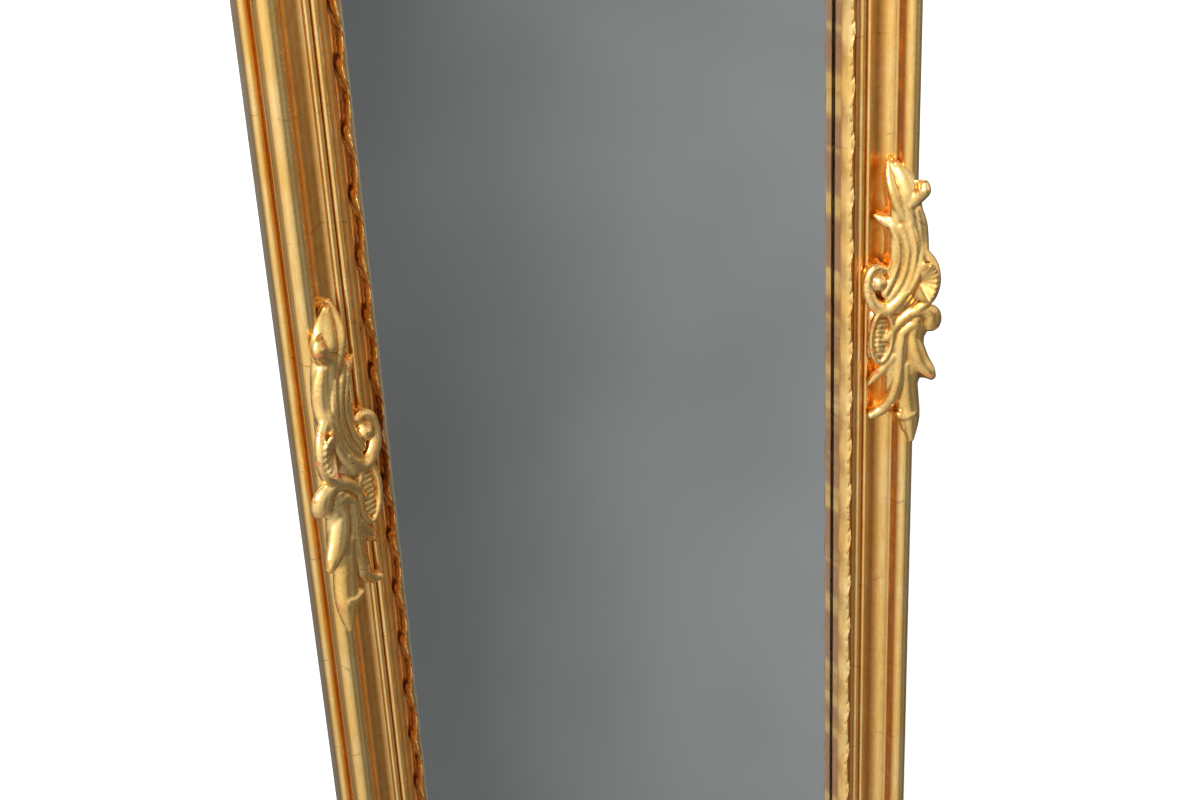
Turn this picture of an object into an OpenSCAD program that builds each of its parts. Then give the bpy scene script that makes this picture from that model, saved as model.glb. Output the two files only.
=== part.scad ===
// Free-standing floor mirror with a gilt carved moulding and a folding easel leg.
// The frame is drawn upright in its own frame: x to the right, -y out of its face, z up along it,
// and is then leaned back. A moulding section is drawn as (s, t): s inward from the outer edge,
// t forward from the back plane.

/* [Frame] */
// Outer width of the frame
frame_w = 520; // [440:1:700]
// Outer height of the frame
frame_h = 1700; // [1600:1:1900]
// Lean back from the vertical, in degrees
lean = 5.5; // [3:0.5:8]
// Thickness of the two rubber feet under the bottom rail
foot_t = 4; // [3:0.5:8]
// Width of each rubber foot under the bottom rail
foot_w = 45; // [25:1:80]
// Distance of those feet's middles from the frame's outer edges
foot_in = 60; // [40:1:90]

/* [Moulding] */
// Radius of the small bead on the outer edge
edge_bead_r = 3.9; // [3:0.1:5]
// Height of the outer wall up to the edge bead's centre
wall_t = 21.6; // [20:0.1:24]
// Inward slope of the outer wall from the edge bead down to the back plane
wall_bevel = 4.2; // [2:0.1:6]
// Radius of the bold outer torus
torus_r = 8.1; // [7:0.1:9]
// Height of the torus centre
torus_t = 33.3; // [30:0.1:35]
// Overlap of the torus over the edge bead
bead_lap = 2.2; // [1:0.1:3]
// Width of the shelf between the torus and the cove
shelf_w = 1.2; // [0.8:0.1:2]
// Height of that shelf
shelf_t = 31; // [29:0.1:32]
// Radius of the hollow cove
cove_r = 14; // [12:0.1:16]
// Height of the cove's lowest line
cove_t = 21.8; // [20:0.1:22.5]
// Width of the cove
cove_w = 16.2; // [14:0.1:18]
// Radius of the ridge inside the cove
ridge_r = 2.5; // [2:0.1:3]
// Width of the flat between the ridge and the inner bead
flat_w = 2.3; // [1:0.1:4]
// Radius of the inner bead
bead_r = 2.9; // [2:0.1:4]
// Width of each of the two inner fillets
fillet_w = 3.05; // [2:0.05:5]
// Height of the first inner fillet
fillet_t = 23; // [22.7:0.1:24]
// Drop from the first inner fillet to the second
fillet_drop = 1.6; // [1:0.1:2.5]

/* [Rebate and glazing] */
// Width of the lip that covers the slip
lip_w = 8.3; // [6:0.1:10]
// Depth of the rebate from the back plane
rebate_t = 18; // [17:0.1:19]
// Width of the raised leaf moulding of the slip
leaf_w = 9; // [7:0.1:12]
// Height of the raised leaf moulding above the slip's tongue
leaf_h = 7; // [5:0.1:9]
// Radius of the crest of the leaf moulding
crest_r = 2.4; // [1.5:0.1:3]
// Thickness of the slip's tongue
tongue_t = 4; // [3:0.1:5]
// Thickness of the mirror glass
glass_t = 4; // [3:0.1:5]
// Thickness of the back panel
panel_t = 5; // [3:0.1:6]
// Gap round the glass inside the rebate
glass_gap = 2; // [1.5:0.1:3]
// Length of each setting block
block_l = 40; // [20:1:60]

/* [Back fittings] */
// Height of the hinge line above the bottom of the frame
hinge_z = 1250; // [1100:1:1300]
// Thickness of the batten that carries the stays
stay_batten_t = 12; // [10:0.5:16]
// Height of that batten
stay_batten_h = 50; // [40:1:80]
// Height of the batten that carries the hinges
hinge_batten_h = 60; // [50:1:90]
// Distance of the screw lines from the frame's outer edge
screw_line = 25; // [20:0.5:30]
// Thickness of the flat corner braces
brace_t = 2; // [1.5:0.1:3]
// Width of a corner brace's arms
brace_w = 16; // [12:0.5:20]
// Length of a corner brace's arms
brace_l = 70; // [55:1:100]
// Thickness of the spring clips that hold the back panel
clip_t = 1.2; // [0.8:0.1:2]
// Width of each clip
clip_w = 16; // [12:0.5:24]
// Distance of the end clips from the top and bottom of the frame
clip_end = 220; // [150:1:260]
// Distance of the hanger rings' pivots below the top of the frame
hanger_d = 140; // [130:1:180]

/* [Easel leg] */
// Angle between the frame and the leg when it stands open, in degrees
leg_open = 13; // [10:0.5:15]
// Outer width of the leg
leg_w = 250; // [200:1:300]
// Width of the leg's uprights
upright_w = 32; // [26:1:40]
// Thickness of the leg's wood
leg_t = 18; // [16:0.5:22]
// Gap between the folded leg and the stay batten
leg_gap = 1; // [0.5:0.1:3]
// Height of the leg's three rails
leg_rail_h = 50; // [40:1:70]
// Distance of the middle rail's centre below the hinge line
middle_rail_d = 680; // [600:1:800]
// Distance of the bottom rail's centre below the hinge line
bottom_rail_d = 1150; // [900:1:1180]
// Thickness of the rubber pads under the leg
pad_t = 4; // [3:0.5:8]

/* [Hinges and stays] */
// Distance of each hinge's middle from the centre line
hinge_x = 85; // [70:1:90]
// Width of a hinge
hinge_w = 50; // [40:1:60]
// Height of a hinge leaf
leaf_l = 20; // [18:0.5:26]
// Thickness of a hinge leaf
hinge_leaf_t = 1.6; // [1.2:0.1:2]
// Outer radius of a hinge knuckle
knuckle_r = 4; // [3.5:0.1:4.5]
// Radius of a hinge pin
pin_r = 1.5; // [1.2:0.1:2]
// Gap between the ends of the leg and the hinge batten, each side of the hinge line
hinge_gap = 2; // [2:0.1:4]
// Distance between the pivots of a stay arm
stay_l = 250; // [200:1:300]
// Width of a stay arm
arm_w = 10; // [8:0.5:12]
// Thickness of a stay arm
arm_t = 2.5; // [2:0.1:3]
// Radius of the eyes at a stay arm's ends
eye_r = 6; // [5.5:0.1:7]
// Thickness of a slot plate
slot_plate_t = 1.5; // [1.2:0.1:2]
// Width of a slot plate
slot_plate_w = 14; // [12:0.5:16]
// Radius of a stud's neck where it runs in the slot
stud_r = 2.4; // [2:0.1:2.6]
// Radius of a stay rivet
rivet_r = 2.5; // [2:0.1:3]
// Thickness of a stay bracket
bracket_t = 2; // [1.5:0.1:3]

/* [Hangers] */
// Radius of the hanger ring's wire
wire_r = 1.5; // [1.2:0.1:1.8]
// Radius of the hanger ring's bow, to the middle of the wire
bow_r = 14; // [12:0.5:15]
// Width of the hanger strap
strap_w = 14; // [10:0.5:16]
// Length of the hanger strap above its loop
strap_l = 36; // [32:1:44]
// Thickness of the hanger strap
strap_t = 1.5; // [1:0.1:2]

/* [Screws] */
// Radius of every screw's shank
screw_r = 1.5; // [1.2:0.1:2]
// Radius of every screw's head
head_r = 3; // [2.5:0.1:3.2]
// Height of every screw's head
head_h = 1.6; // [1.2:0.1:2]
// Length of the short screws that hold metal fittings
short_screw = 10; // [8:0.5:11]
// Length of the screws that join the leg's rails
rail_screw = 55; // [40:1:70]

/* [Ornament] */
// Height of the side ornaments' middle above the bottom of the frame
ornament_z = 860; // [700:1:1000]

/* [Clearances] */
// Radial clearance of a pin, rivet or screw in its hole
pin_fit = 0.05; // [0.02:0.01:0.08]
// Gap between moving flat faces, and between the ornament and the moulding
side_gap = 0.3; // [0.2:0.05:0.5]
// Gap in front of and behind the glass
glass_fit = 0.2; // [0.1:0.05:0.3]
// Clearance of a stud in its slot
slot_fit = 0.2; // [0.1:0.05:0.3]

/* [Hidden] */
$fn = 48;
reach = 400;

// Stations of the moulding section, from the outer edge inward.
torus_s = 2 * edge_bead_r + torus_r - bead_lap;
quirk_s = torus_s + torus_r;
cove_s = quirk_s + shelf_w;
cove_end_s = cove_s + cove_w;
ridge_s = cove_end_s + ridge_r;
inner_bead_s = ridge_s + ridge_r + flat_w + bead_r;
fillet_s = inner_bead_s + bead_r;
mould_w = fillet_s + 2 * fillet_w;
neck_t = 22.5;
ground_t = 22.3;
ridge_t = 22.9;
inner_bead_t = 22.2;

// The slip, the glass and the panel in the rebate.
rebate_s = mould_w - lip_w;
crack = 0.7;
leaf_s = mould_w + crack;
sight_s = leaf_s + leaf_w;
tongue_back = rebate_t - tongue_t;
leaf_top = rebate_t + leaf_h;
glass_front = tongue_back - glass_fit;
glass_back = glass_front - glass_t;
panel_front = glass_back - glass_fit;
panel_back = panel_front - panel_t;
slip_gap = 0.7;
panel_gap = 1;

// Battens, hinge line and leg, with y measured back from the frame's back plane.
leg_front_y = stay_batten_t + leg_gap;
leg_back_y = leg_front_y + leg_t;
hinge_y = leg_back_y + knuckle_r;
batten_end = 15;
batten_l = frame_w - 2 * batten_end;
lift = foot_t;
hinge_height = lift + hinge_z * cos(lean) - hinge_y * sin(lean);
leg_from_plumb = leg_open - lean;
leg_in_x = leg_w / 2 - upright_w;

// The stay linkage. Its frame pivot is one arm length below the hinge line, so the arm turns
// twice as far as the leg and lies along the frame when the leg is folded.
stay_y = leg_front_y + leg_t / 2;
stay_back = hinge_y - stay_y;
slot_tilt = asin(stay_back / stay_l) / 2;
stay_z = hinge_z - stay_l * cos(2 * slot_tilt);
stay_open = 2 * leg_open;
stud_d_open = 2 * stay_l * cos(leg_open + slot_tilt);
stud_d_fold = 2 * stay_l * cos(slot_tilt);
slot_r = stud_r + slot_fit;
slot_top = stud_d_open - slot_fit;
slot_end = stud_d_fold + slot_fit;
slot_margin = 22;
slot_screw = 11;
stud_head_r = 4.2;
stud_head_t = 1.5;
pocket_r = 4.8;
pocket_d = 5;
arm_out_x = leg_in_x - slot_plate_t - side_gap;
arm_in_x = arm_out_x - arm_t;
ear_out_x = arm_in_x - side_gap;
ear_in_x = ear_out_x - bracket_t;
bracket_w = 24;
bracket_h = 30;
rivet_head_r = 4.5;
rivet_head_t = 1.2;

// Hangers.
hanger_z = frame_h - hanger_d;
loop_fit_r = wire_r + pin_fit;
loop_r = loop_fit_r + strap_t;
hanger_x = frame_w / 2 - screw_line;

// Where the leg's foot stands and how far the whole part reaches, for the origin below its middle.
leg_foot_y = hinge_y * cos(lean) + hinge_z * sin(lean) + hinge_height * tan(leg_from_plumb);
front_reach = 57;
origin_y = (leg_foot_y - front_reach) / 2;

// Screw places. Each list is used by the screws and by the holes they pass through.
hinge_batten_z = hinge_z + hinge_gap + hinge_batten_h / 2;
clip_zs = [clip_end, (clip_end + stay_z) / 2, (stay_z + hinge_batten_z) / 2, frame_h - clip_end];
clip_rail_x = 80;
clip_screw = 8;
clip_out = 16;
clip_in = 13;
brace_near = 8;
brace_far = 12;
hinge_batten_screw = 15;
stay_batten_screw = 12;
hanger_near = 12;
hanger_far = 28;
bracket_screw = 9;
rail_screw_z = 10;
hole_rise = 2 * head_h;
overcut = 1;
pin_head = 1;
foot_x = frame_w / 2 - foot_in;
foot_front = 34;
foot_back = 4;
hinge_screw_x = 16;
hinge_screw_z = 12;
rail_zs = [-hinge_gap - leg_rail_h / 2, -middle_rail_d, -bottom_rail_d];
batten_bite = 14;

gold = "#c89b52";
old_gold = "#a87a35";
raw_wood = "#c9a878";
steel = "#8f9296";
brass = "#b08d4a";
glass_blue = "#b0c4de";
board = "#8a6b48";
rubber = "#2b2b2b";

// ---- Placing ----

module leaned() translate([0, -origin_y, lift]) rotate([-lean, 0, 0]) children();
module on_leg() leaned() translate([0, hinge_y, hinge_z]) rotate([leg_open, 0, 0]) children();
module on_stay() leaned() translate([0, stay_y, stay_z]) rotate([stay_open, 0, 0]) children();
module on_slot() rotate([-slot_tilt, 0, 0]) children();
module on_bottom() children();
module on_top() translate([0, 0, frame_h]) rotate([0, 180, 0]) children();
module on_left() translate([-frame_w / 2, 0, frame_h / 2]) rotate([0, 90, 0]) children();
module on_right() translate([frame_w / 2, 0, frame_h / 2]) rotate([0, -90, 0]) children();
module flip(side) mirror([side < 0 ? 1 : 0, 0, 0]) children();
module both() for (side = [-1, 1]) flip(side) children();
module at_corner(side, top) translate([0, 0, top ? frame_h : 0]) mirror([0, 0, top ? 1 : 0])
    flip(side) translate([frame_w / 2, 0, 0]) mirror([1, 0, 0]) children();
module at_corners() for (side = [-1, 1], top = [false, true]) at_corner(side, top) children();

// ---- Sections ----

module moulding_section() {
    difference() {
        polygon([
            [wall_bevel, 0], [rebate_s, 0], [rebate_s, rebate_t], [mould_w, rebate_t],
            [mould_w, fillet_t - fillet_drop], [fillet_s + fillet_w, fillet_t - fillet_drop],
            [fillet_s + fillet_w, fillet_t], [fillet_s, fillet_t], [fillet_s, ground_t],
            [cove_end_s, ground_t], [cove_s, shelf_t], [quirk_s - 0.1, shelf_t],
            [torus_s, torus_t], [torus_s - torus_r + bead_lap / 2, torus_t],
            [torus_s - torus_r + bead_lap / 2, neck_t], [edge_bead_r, neck_t], [0, wall_t]
        ]);
        translate([cove_s + cove_r - side_gap, cove_t + cove_r]) circle(cove_r);
    }
    translate([edge_bead_r, wall_t]) circle(edge_bead_r);
    translate([torus_s, torus_t]) circle(torus_r);
    translate([ridge_s, ridge_t]) circle(ridge_r);
    translate([inner_bead_s, inner_bead_t]) circle(bead_r);
}

module slip_section() {
    translate([rebate_s + slip_gap, tongue_back]) square([sight_s - rebate_s - slip_gap, tongue_t]);
    hull() {
        translate([leaf_s, tongue_back]) square([leaf_w, tongue_t]);
        translate([leaf_s + crest_r, leaf_top - crest_r]) circle(crest_r);
    }
}

// A straight length of moulding along x, mitred at both ends.
module mitred(length) intersection() {
    rotate([90, 0, 90]) linear_extrude(length, center = true) rotate(90) children();
    rotate([90, 0, 0]) linear_extrude(reach, center = true) polygon([
        [-length / 2, 0], [length / 2, 0], [length / 2 - sight_s, sight_s], [-length / 2 + sight_s, sight_s]
    ]);
}

// ---- Screws ----

// A pan-head screw into a face at y = 0, from behind.
module screw(length) difference() {
    union() {
        rotate([90, 0, 0]) cylinder(r = screw_r, h = length);
        rotate([-90, 0, 0]) cylinder(r = head_r, h = head_h);
    }
    translate([-head_r, head_h / 2, -head_r / 10]) cube([2 * head_r, head_h, head_r / 5]);
}
module screw_hole(length) translate([0, hole_rise, 0]) rotate([90, 0, 0])
    cylinder(r = screw_r + pin_fit, h = length + hole_rise + side_gap);

// A countersunk screw whose head lies flush in a plate of the given thickness, and its hole.
module flush_screw(length, plate) difference() {
    rotate([90, 0, 0]) {
        cylinder(r1 = head_r, r2 = screw_r, h = plate);
        cylinder(r = screw_r, h = length);
    }
    translate([-head_r, -plate / 2, -head_r / 10]) cube([2 * head_r, plate, head_r / 5]);
}
module flush_hole(length, plate) rotate([90, 0, 0]) {
    cylinder(r1 = head_r + pin_fit, r2 = screw_r + pin_fit, h = plate);
    cylinder(r = screw_r + pin_fit, h = length + side_gap);
}

module brace_spots() at_corners() for (d = [brace_l - brace_far, brace_l + brace_near]) {
    translate([screw_line, 0, d]) children();
    translate([d, 0, screw_line]) children();
}
module clip_spots() {
    both() for (z = clip_zs) translate([frame_w / 2 - rebate_s + clip_screw, 0, z]) children();
    both() translate([clip_rail_x, 0, rebate_s - clip_screw]) children();
    both() translate([clip_rail_x, 0, frame_h - rebate_s + clip_screw]) children();
}
module hinge_batten_spots() both() for (dz = [-hinge_batten_screw, hinge_batten_screw])
    translate([hanger_x, 0, hinge_batten_z + dz]) children();
module stay_batten_spots() both() for (dz = [-stay_batten_screw, stay_batten_screw])
    translate([hanger_x, 0, stay_z + dz]) children();
module hanger_spots() both() for (dz = [hanger_near, hanger_far])
    translate([hanger_x, 0, hanger_z + dz]) children();
module hinge_spots(up) both() for (dx = [-hinge_screw_x, hinge_screw_x])
    translate([hinge_x + dx, 0, up * hinge_screw_z]) children();
module bracket_spots() both() for (dz = [-bracket_screw, bracket_screw])
    translate([ear_in_x - bracket_w / 2, 0, stay_z + dz]) children();
module slot_plate_spots() both() for (d = [slot_top - slot_screw, slot_end + slot_screw])
    translate([leg_in_x - slot_plate_t, 0, 0]) on_slot() translate([0, 0, -d])
        rotate([0, 0, 90]) children();
module rail_spots() both() for (z = rail_zs, dz = [-rail_screw_z, rail_screw_z])
    translate([leg_w / 2, stay_y - hinge_y, z + dz]) rotate([0, 0, -90]) children();

module frame_holes() {
    brace_spots() screw_hole(short_screw);
    clip_spots() screw_hole(short_screw);
    hinge_batten_spots() screw_hole(batten_bite);
    stay_batten_spots() screw_hole(batten_bite);
    hanger_spots() screw_hole(short_screw);
}
module leg_holes() {
    translate([0, -knuckle_r, 0]) hinge_spots(-1) screw_hole(short_screw);
    slot_plate_spots() flush_hole(short_screw, slot_plate_t);
    rail_spots() screw_hole(rail_screw);
}

// ---- Frame ----

module bottom_rail() leaned() color(gold) difference() {
    on_bottom() mitred(frame_w) moulding_section();
    frame_holes();
}
module top_rail() leaned() color(gold) difference() {
    on_top() mitred(frame_w) moulding_section();
    frame_holes();
}
module left_stile() leaned() color(gold) difference() {
    on_left() mitred(frame_h) moulding_section();
    frame_holes();
}
module right_stile() leaned() color(gold) difference() {
    on_right() mitred(frame_h) moulding_section();
    frame_holes();
}
module bottom_leaf_slip() leaned() color(old_gold) on_bottom() mitred(frame_w) slip_section();
module top_leaf_slip() leaned() color(old_gold) on_top() mitred(frame_w) slip_section();
module left_leaf_slip() leaned() color(old_gold) on_left() mitred(frame_h) slip_section();
module right_leaf_slip() leaned() color(old_gold) on_right() mitred(frame_h) slip_section();

module mirror_glass() {
    edge = rebate_s + glass_gap;
    leaned() color(glass_blue) translate([-frame_w / 2 + edge, -glass_front, edge])
        cube([frame_w - 2 * edge, glass_t, frame_h - 2 * edge]);
}
module back_panel() {
    edge = rebate_s + panel_gap;
    leaned() color(board) translate([-frame_w / 2 + edge, -panel_front, edge])
        cube([frame_w - 2 * edge, panel_t, frame_h - 2 * edge]);
}
module glass_setting_blocks() {
    inner_w = frame_w / 2 - rebate_s - glass_gap;
    leaned() color(rubber) translate([0, -glass_front, 0]) both() {
        translate([inner_w / 2 - block_l / 2, 0, rebate_s]) cube([block_l, glass_t, glass_gap]);
        for (z = [frame_h / 4, 3 * frame_h / 4])
            translate([inner_w, 0, z - block_l / 2]) cube([glass_gap, glass_t, block_l]);
    }
}

// One clip: its upper flat lies on the moulding's back, its lower flat on the panel. s runs along x.
module panel_clip() {
    rise = rebate_s + side_gap;
    difference() {
        translate([0, 0, -clip_w / 2]) linear_extrude(clip_w) polygon([
            [rebate_s - clip_out, 0], [rise, 0], [rise, -panel_back],
            [rise + clip_in, -panel_back], [rise + clip_in, -panel_back + clip_t],
            [rise + clip_t, -panel_back + clip_t], [rise + clip_t, clip_t], [rebate_s - clip_out, clip_t]
        ]);
        translate([rebate_s - clip_screw, 0, 0]) screw_hole(short_screw);
    }
}
module panel_clips() leaned() color(steel) {
    both() for (z = clip_zs)
        translate([frame_w / 2, 0, z]) mirror([1, 0, 0]) panel_clip();
    both() translate([clip_rail_x, 0, 0]) rotate([0, -90, 0]) panel_clip();
    both() translate([clip_rail_x, 0, frame_h]) rotate([0, 90, 0]) panel_clip();
}
module panel_clip_screws() leaned() color(steel) translate([0, clip_t, 0])
    clip_spots() screw(short_screw);

module corner_braces() {
    near = screw_line - brace_w / 2;
    leaned() color(steel) difference() {
        at_corners() translate([near, 0, near]) {
            cube([brace_l, brace_t, brace_w]);
            cube([brace_w, brace_t, brace_l]);
        }
        brace_spots() screw_hole(short_screw);
    }
}
module corner_brace_screws() leaned() color(steel) translate([0, brace_t, 0])
    brace_spots() screw(short_screw);

module hinge_batten() leaned() color(raw_wood) difference() {
    translate([-batten_l / 2, 0, hinge_z + hinge_gap]) cube([batten_l, leg_back_y, hinge_batten_h]);
    translate([0, leg_back_y, 0]) hinge_batten_spots() screw_hole(leg_back_y + batten_bite);
    translate([0, leg_back_y, hinge_z]) hinge_spots(1) screw_hole(short_screw);
}
module stay_batten() leaned() color(raw_wood) difference() {
    translate([-batten_l / 2, 0, stay_z - stay_batten_h / 2])
        cube([batten_l, stay_batten_t, stay_batten_h]);
    translate([0, stay_batten_t, 0]) stay_batten_spots() screw_hole(stay_batten_t + batten_bite);
    translate([0, stay_batten_t, 0]) bracket_spots() screw_hole(short_screw);
}
module batten_screws() leaned() color(steel) {
    translate([0, leg_back_y, 0]) hinge_batten_spots() screw(leg_back_y + batten_bite);
    translate([0, stay_batten_t, 0]) stay_batten_spots() screw(stay_batten_t + batten_bite);
}

// A rubber foot: a wedge between the leaned rail, whose wall slopes back, and the level floor.
function sole_at(t) = -t * tan(lean) - lift / cos(lean);
module frame_foot(side) leaned() color(rubber)
    translate([side * foot_x - foot_w / 2, 0, 0]) rotate([90, 0, 90]) linear_extrude(foot_w) polygon([
        [-foot_front, sole_at(foot_front)], [-foot_back, sole_at(foot_back)],
        [-foot_back, wall_bevel * (1 - foot_back / wall_t)], [-wall_t, 0], [-foot_front, 0]
    ]);
module left_frame_foot() frame_foot(-1);
module right_frame_foot() frame_foot(1);

// ---- Hinges ----

// A cylinder along x on the hinge line, from x1 to x2.
module on_line(radius, x1, x2) translate([x1, 0, 0]) rotate([0, 90, 0]) cylinder(r = radius, h = x2 - x1);

knuckle_in = hinge_w / 6;
module hinge_leaf(up) difference() {
    union() {
        translate([-hinge_w / 2, -knuckle_r, up > 0 ? 0 : -leaf_l]) cube([hinge_w, hinge_leaf_t, leaf_l]);
        if (up > 0) both() on_line(knuckle_r, knuckle_in, hinge_w / 2);
        else on_line(knuckle_r, -knuckle_in + side_gap, knuckle_in - side_gap);
    }
    on_line(pin_r + pin_fit, -hinge_w, hinge_w);
    if (up > 0) on_line(knuckle_r + side_gap, -knuckle_in, knuckle_in);
    else both() on_line(knuckle_r + side_gap, knuckle_in - side_gap, hinge_w);
    for (dx = [-hinge_screw_x, hinge_screw_x])
        translate([dx, -knuckle_r, up * hinge_screw_z]) screw_hole(short_screw);
}
module hinge_frame_leaf(side) leaned() color(brass)
    translate([side * hinge_x, hinge_y, hinge_z]) hinge_leaf(1);
module hinge_leg_leaf(side) on_leg() color(brass) translate([side * hinge_x, 0, 0]) hinge_leaf(-1);
module hinge_pin(side) leaned() color(brass) translate([side * hinge_x, hinge_y, hinge_z]) {
    on_line(pin_r, -hinge_w / 2 - pin_head, hinge_w / 2 + pin_head);
    both() on_line(pin_r + pin_head, hinge_w / 2, hinge_w / 2 + pin_head);
}
module left_hinge_frame_leaf() hinge_frame_leaf(-1);
module right_hinge_frame_leaf() hinge_frame_leaf(1);
module left_hinge_leg_leaf() hinge_leg_leaf(-1);
module right_hinge_leg_leaf() hinge_leg_leaf(1);
module left_hinge_pin() hinge_pin(-1);
module right_hinge_pin() hinge_pin(1);
module hinge_frame_screws() leaned() color(brass)
    translate([0, leg_back_y + hinge_leaf_t, hinge_z]) hinge_spots(1) screw(short_screw);
module hinge_leg_screws() on_leg() color(brass)
    translate([0, hinge_leaf_t - knuckle_r, 0]) hinge_spots(-1) screw(short_screw);

// ---- Easel leg ----

// The height of the floor, or of a level raised above it, where the leg's depth is y.
function level_at(y, raise) = (raise - hinge_height - y * sin(leg_from_plumb)) / cos(leg_from_plumb);
leg_y1 = leg_front_y - hinge_y;
leg_y2 = leg_back_y - hinge_y;

module slot_shape(radius, depth) {
    for (d = [slot_top, slot_end]) translate([0, 0, -d]) rotate([0, 90, 0]) cylinder(r = radius, h = depth);
    translate([0, -radius, -slot_end]) cube([depth, 2 * radius, slot_end - slot_top]);
}
module leg_upright(side) on_leg() color(raw_wood) difference() {
    flip(side) translate([leg_in_x, 0, 0]) rotate([90, 0, 90]) linear_extrude(upright_w) polygon([
        [leg_y1, -hinge_gap], [leg_y2, -hinge_gap], [leg_y2, level_at(leg_y2, pad_t)],
        [leg_y1, level_at(leg_y1, pad_t)]
    ]);
    flip(side) translate([leg_in_x - overcut, 0, 0]) on_slot() slot_shape(pocket_r, pocket_d + overcut);
    leg_holes();
}
module left_leg_upright() leg_upright(-1);
module right_leg_upright() leg_upright(1);
module leg_rail(z) on_leg() color(raw_wood) difference() {
    translate([-leg_in_x, leg_y1, z - leg_rail_h / 2]) cube([2 * leg_in_x, leg_t, leg_rail_h]);
    leg_holes();
}
module leg_top_rail() leg_rail(rail_zs[0]);
module leg_middle_rail() leg_rail(rail_zs[1]);
module leg_bottom_rail() leg_rail(rail_zs[2]);
module leg_rail_screws() on_leg() color(steel) rail_spots() screw(rail_screw);
module leg_foot(side) on_leg() color(rubber) flip(side) translate([leg_in_x, 0, 0])
    rotate([90, 0, 90]) linear_extrude(upright_w) polygon([
        [leg_y1, level_at(leg_y1, pad_t)], [leg_y2, level_at(leg_y2, pad_t)],
        [leg_y2, level_at(leg_y2, 0)], [leg_y1, level_at(leg_y1, 0)]
    ]);
module left_leg_foot() leg_foot(-1);
module right_leg_foot() leg_foot(1);

module slot_plate(side) on_leg() color(steel) difference() {
    flip(side) translate([leg_in_x - slot_plate_t, 0, 0]) on_slot() difference() {
        translate([0, -slot_plate_w / 2, -slot_end - slot_margin])
            cube([slot_plate_t, slot_plate_w, slot_end - slot_top + 2 * slot_margin]);
        translate([-overcut, 0, 0]) slot_shape(slot_r, slot_plate_t + 2 * overcut);
    }
    slot_plate_spots() flush_hole(short_screw, slot_plate_t);
}
module left_slot_plate() slot_plate(-1);
module right_slot_plate() slot_plate(1);
module slot_plate_screws() on_leg() color(steel) slot_plate_spots() flush_screw(short_screw, slot_plate_t);

// ---- Stays ----

module stay_bracket(side) leaned() color(steel) difference() {
    flip(side) {
        translate([ear_out_x - bracket_w, stay_batten_t, stay_z - bracket_h / 2])
            cube([bracket_w, bracket_t, bracket_h]);
        translate([ear_in_x, stay_batten_t, stay_z - eye_r])
            cube([bracket_t, stay_y - stay_batten_t, 2 * eye_r]);
        translate([0, stay_y, stay_z]) on_line(eye_r, ear_in_x, ear_out_x);
    }
    translate([0, stay_y, stay_z]) on_line(rivet_r + pin_fit, -leg_w, leg_w);
    translate([0, stay_batten_t, 0]) bracket_spots() screw_hole(short_screw);
}
module left_stay_bracket() stay_bracket(-1);
module right_stay_bracket() stay_bracket(1);
module stay_bracket_screws() leaned() color(steel) translate([0, stay_batten_t + bracket_t, 0])
    bracket_spots() screw(short_screw);
module stay_rivet(side) leaned() color(steel) flip(side) translate([0, stay_y, stay_z]) {
    on_line(rivet_r, ear_in_x, arm_out_x + side_gap);
    on_line(rivet_head_r, ear_in_x - rivet_head_t, ear_in_x);
    on_line(rivet_head_r, arm_out_x + side_gap, arm_out_x + side_gap + rivet_head_t);
}
module left_stay_rivet() stay_rivet(-1);
module right_stay_rivet() stay_rivet(1);
module stay_arm(side) on_stay() color(steel) flip(side) difference() {
    union() {
        on_line(eye_r, arm_in_x, arm_out_x);
        translate([0, 0, -stay_l]) on_line(eye_r, arm_in_x, arm_out_x);
        translate([arm_in_x, -arm_w / 2, -stay_l]) cube([arm_t, arm_w, stay_l]);
    }
    on_line(rivet_r + pin_fit, 0, leg_w);
    translate([0, 0, -stay_l]) on_line(stud_r + pin_fit, 0, leg_w);
}
module left_stay_arm() stay_arm(-1);
module right_stay_arm() stay_arm(1);
module stay_stud(side) on_stay() color(steel) flip(side) translate([0, 0, -stay_l]) {
    on_line(stud_r, arm_in_x, leg_in_x + side_gap);
    on_line(stud_head_r, arm_in_x - stud_head_t, arm_in_x);
    on_line(stud_head_r, leg_in_x + side_gap, leg_in_x + side_gap + stud_head_t);
}
module left_stay_stud() stay_stud(-1);
module right_stay_stud() stay_stud(1);

// ---- Hangers ----

module hanger_strap(side) leaned() color(steel) difference() {
    translate([side * hanger_x, 0, hanger_z]) {
        translate([-strap_w / 2, 0, 0]) cube([strap_w, strap_t, strap_l]);
        translate([0, loop_r, 0]) on_line(loop_r, -strap_w / 2, strap_w / 2);
    }
    translate([side * hanger_x, loop_r, hanger_z]) on_line(loop_fit_r, -strap_w, strap_w);
    hanger_spots() screw_hole(short_screw);
}
module left_hanger_strap() hanger_strap(-1);
module right_hanger_strap() hanger_strap(1);
module hanger_screws() leaned() color(steel) translate([0, strap_t, 0])
    hanger_spots() screw(short_screw);
module hanger_ring(side) leaned() translate([side * hanger_x, loop_r, hanger_z]) rotate([lean, 0, 0])
    color(steel) {
        on_line(wire_r, -bow_r, bow_r);
        both() translate([bow_r, 0, 0]) sphere(wire_r);
        rotate([90, 180, 0]) rotate_extrude(angle = 180) translate([bow_r, 0]) circle(wire_r);
    }
module left_hanger_ring() hanger_ring(-1);
module right_hanger_ring() hanger_ring(1);

// ---- Carved ornament ----
// Each ornament is a pressed relief with no undercuts, built from strands: ridges along smooth
// paths. A path point is [s, z, t, w]: s in from the outer edge, z along the moulding, t the height
// of the ridge's crest and w its width there. The relief is lofted through rows across the moulding.

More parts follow.
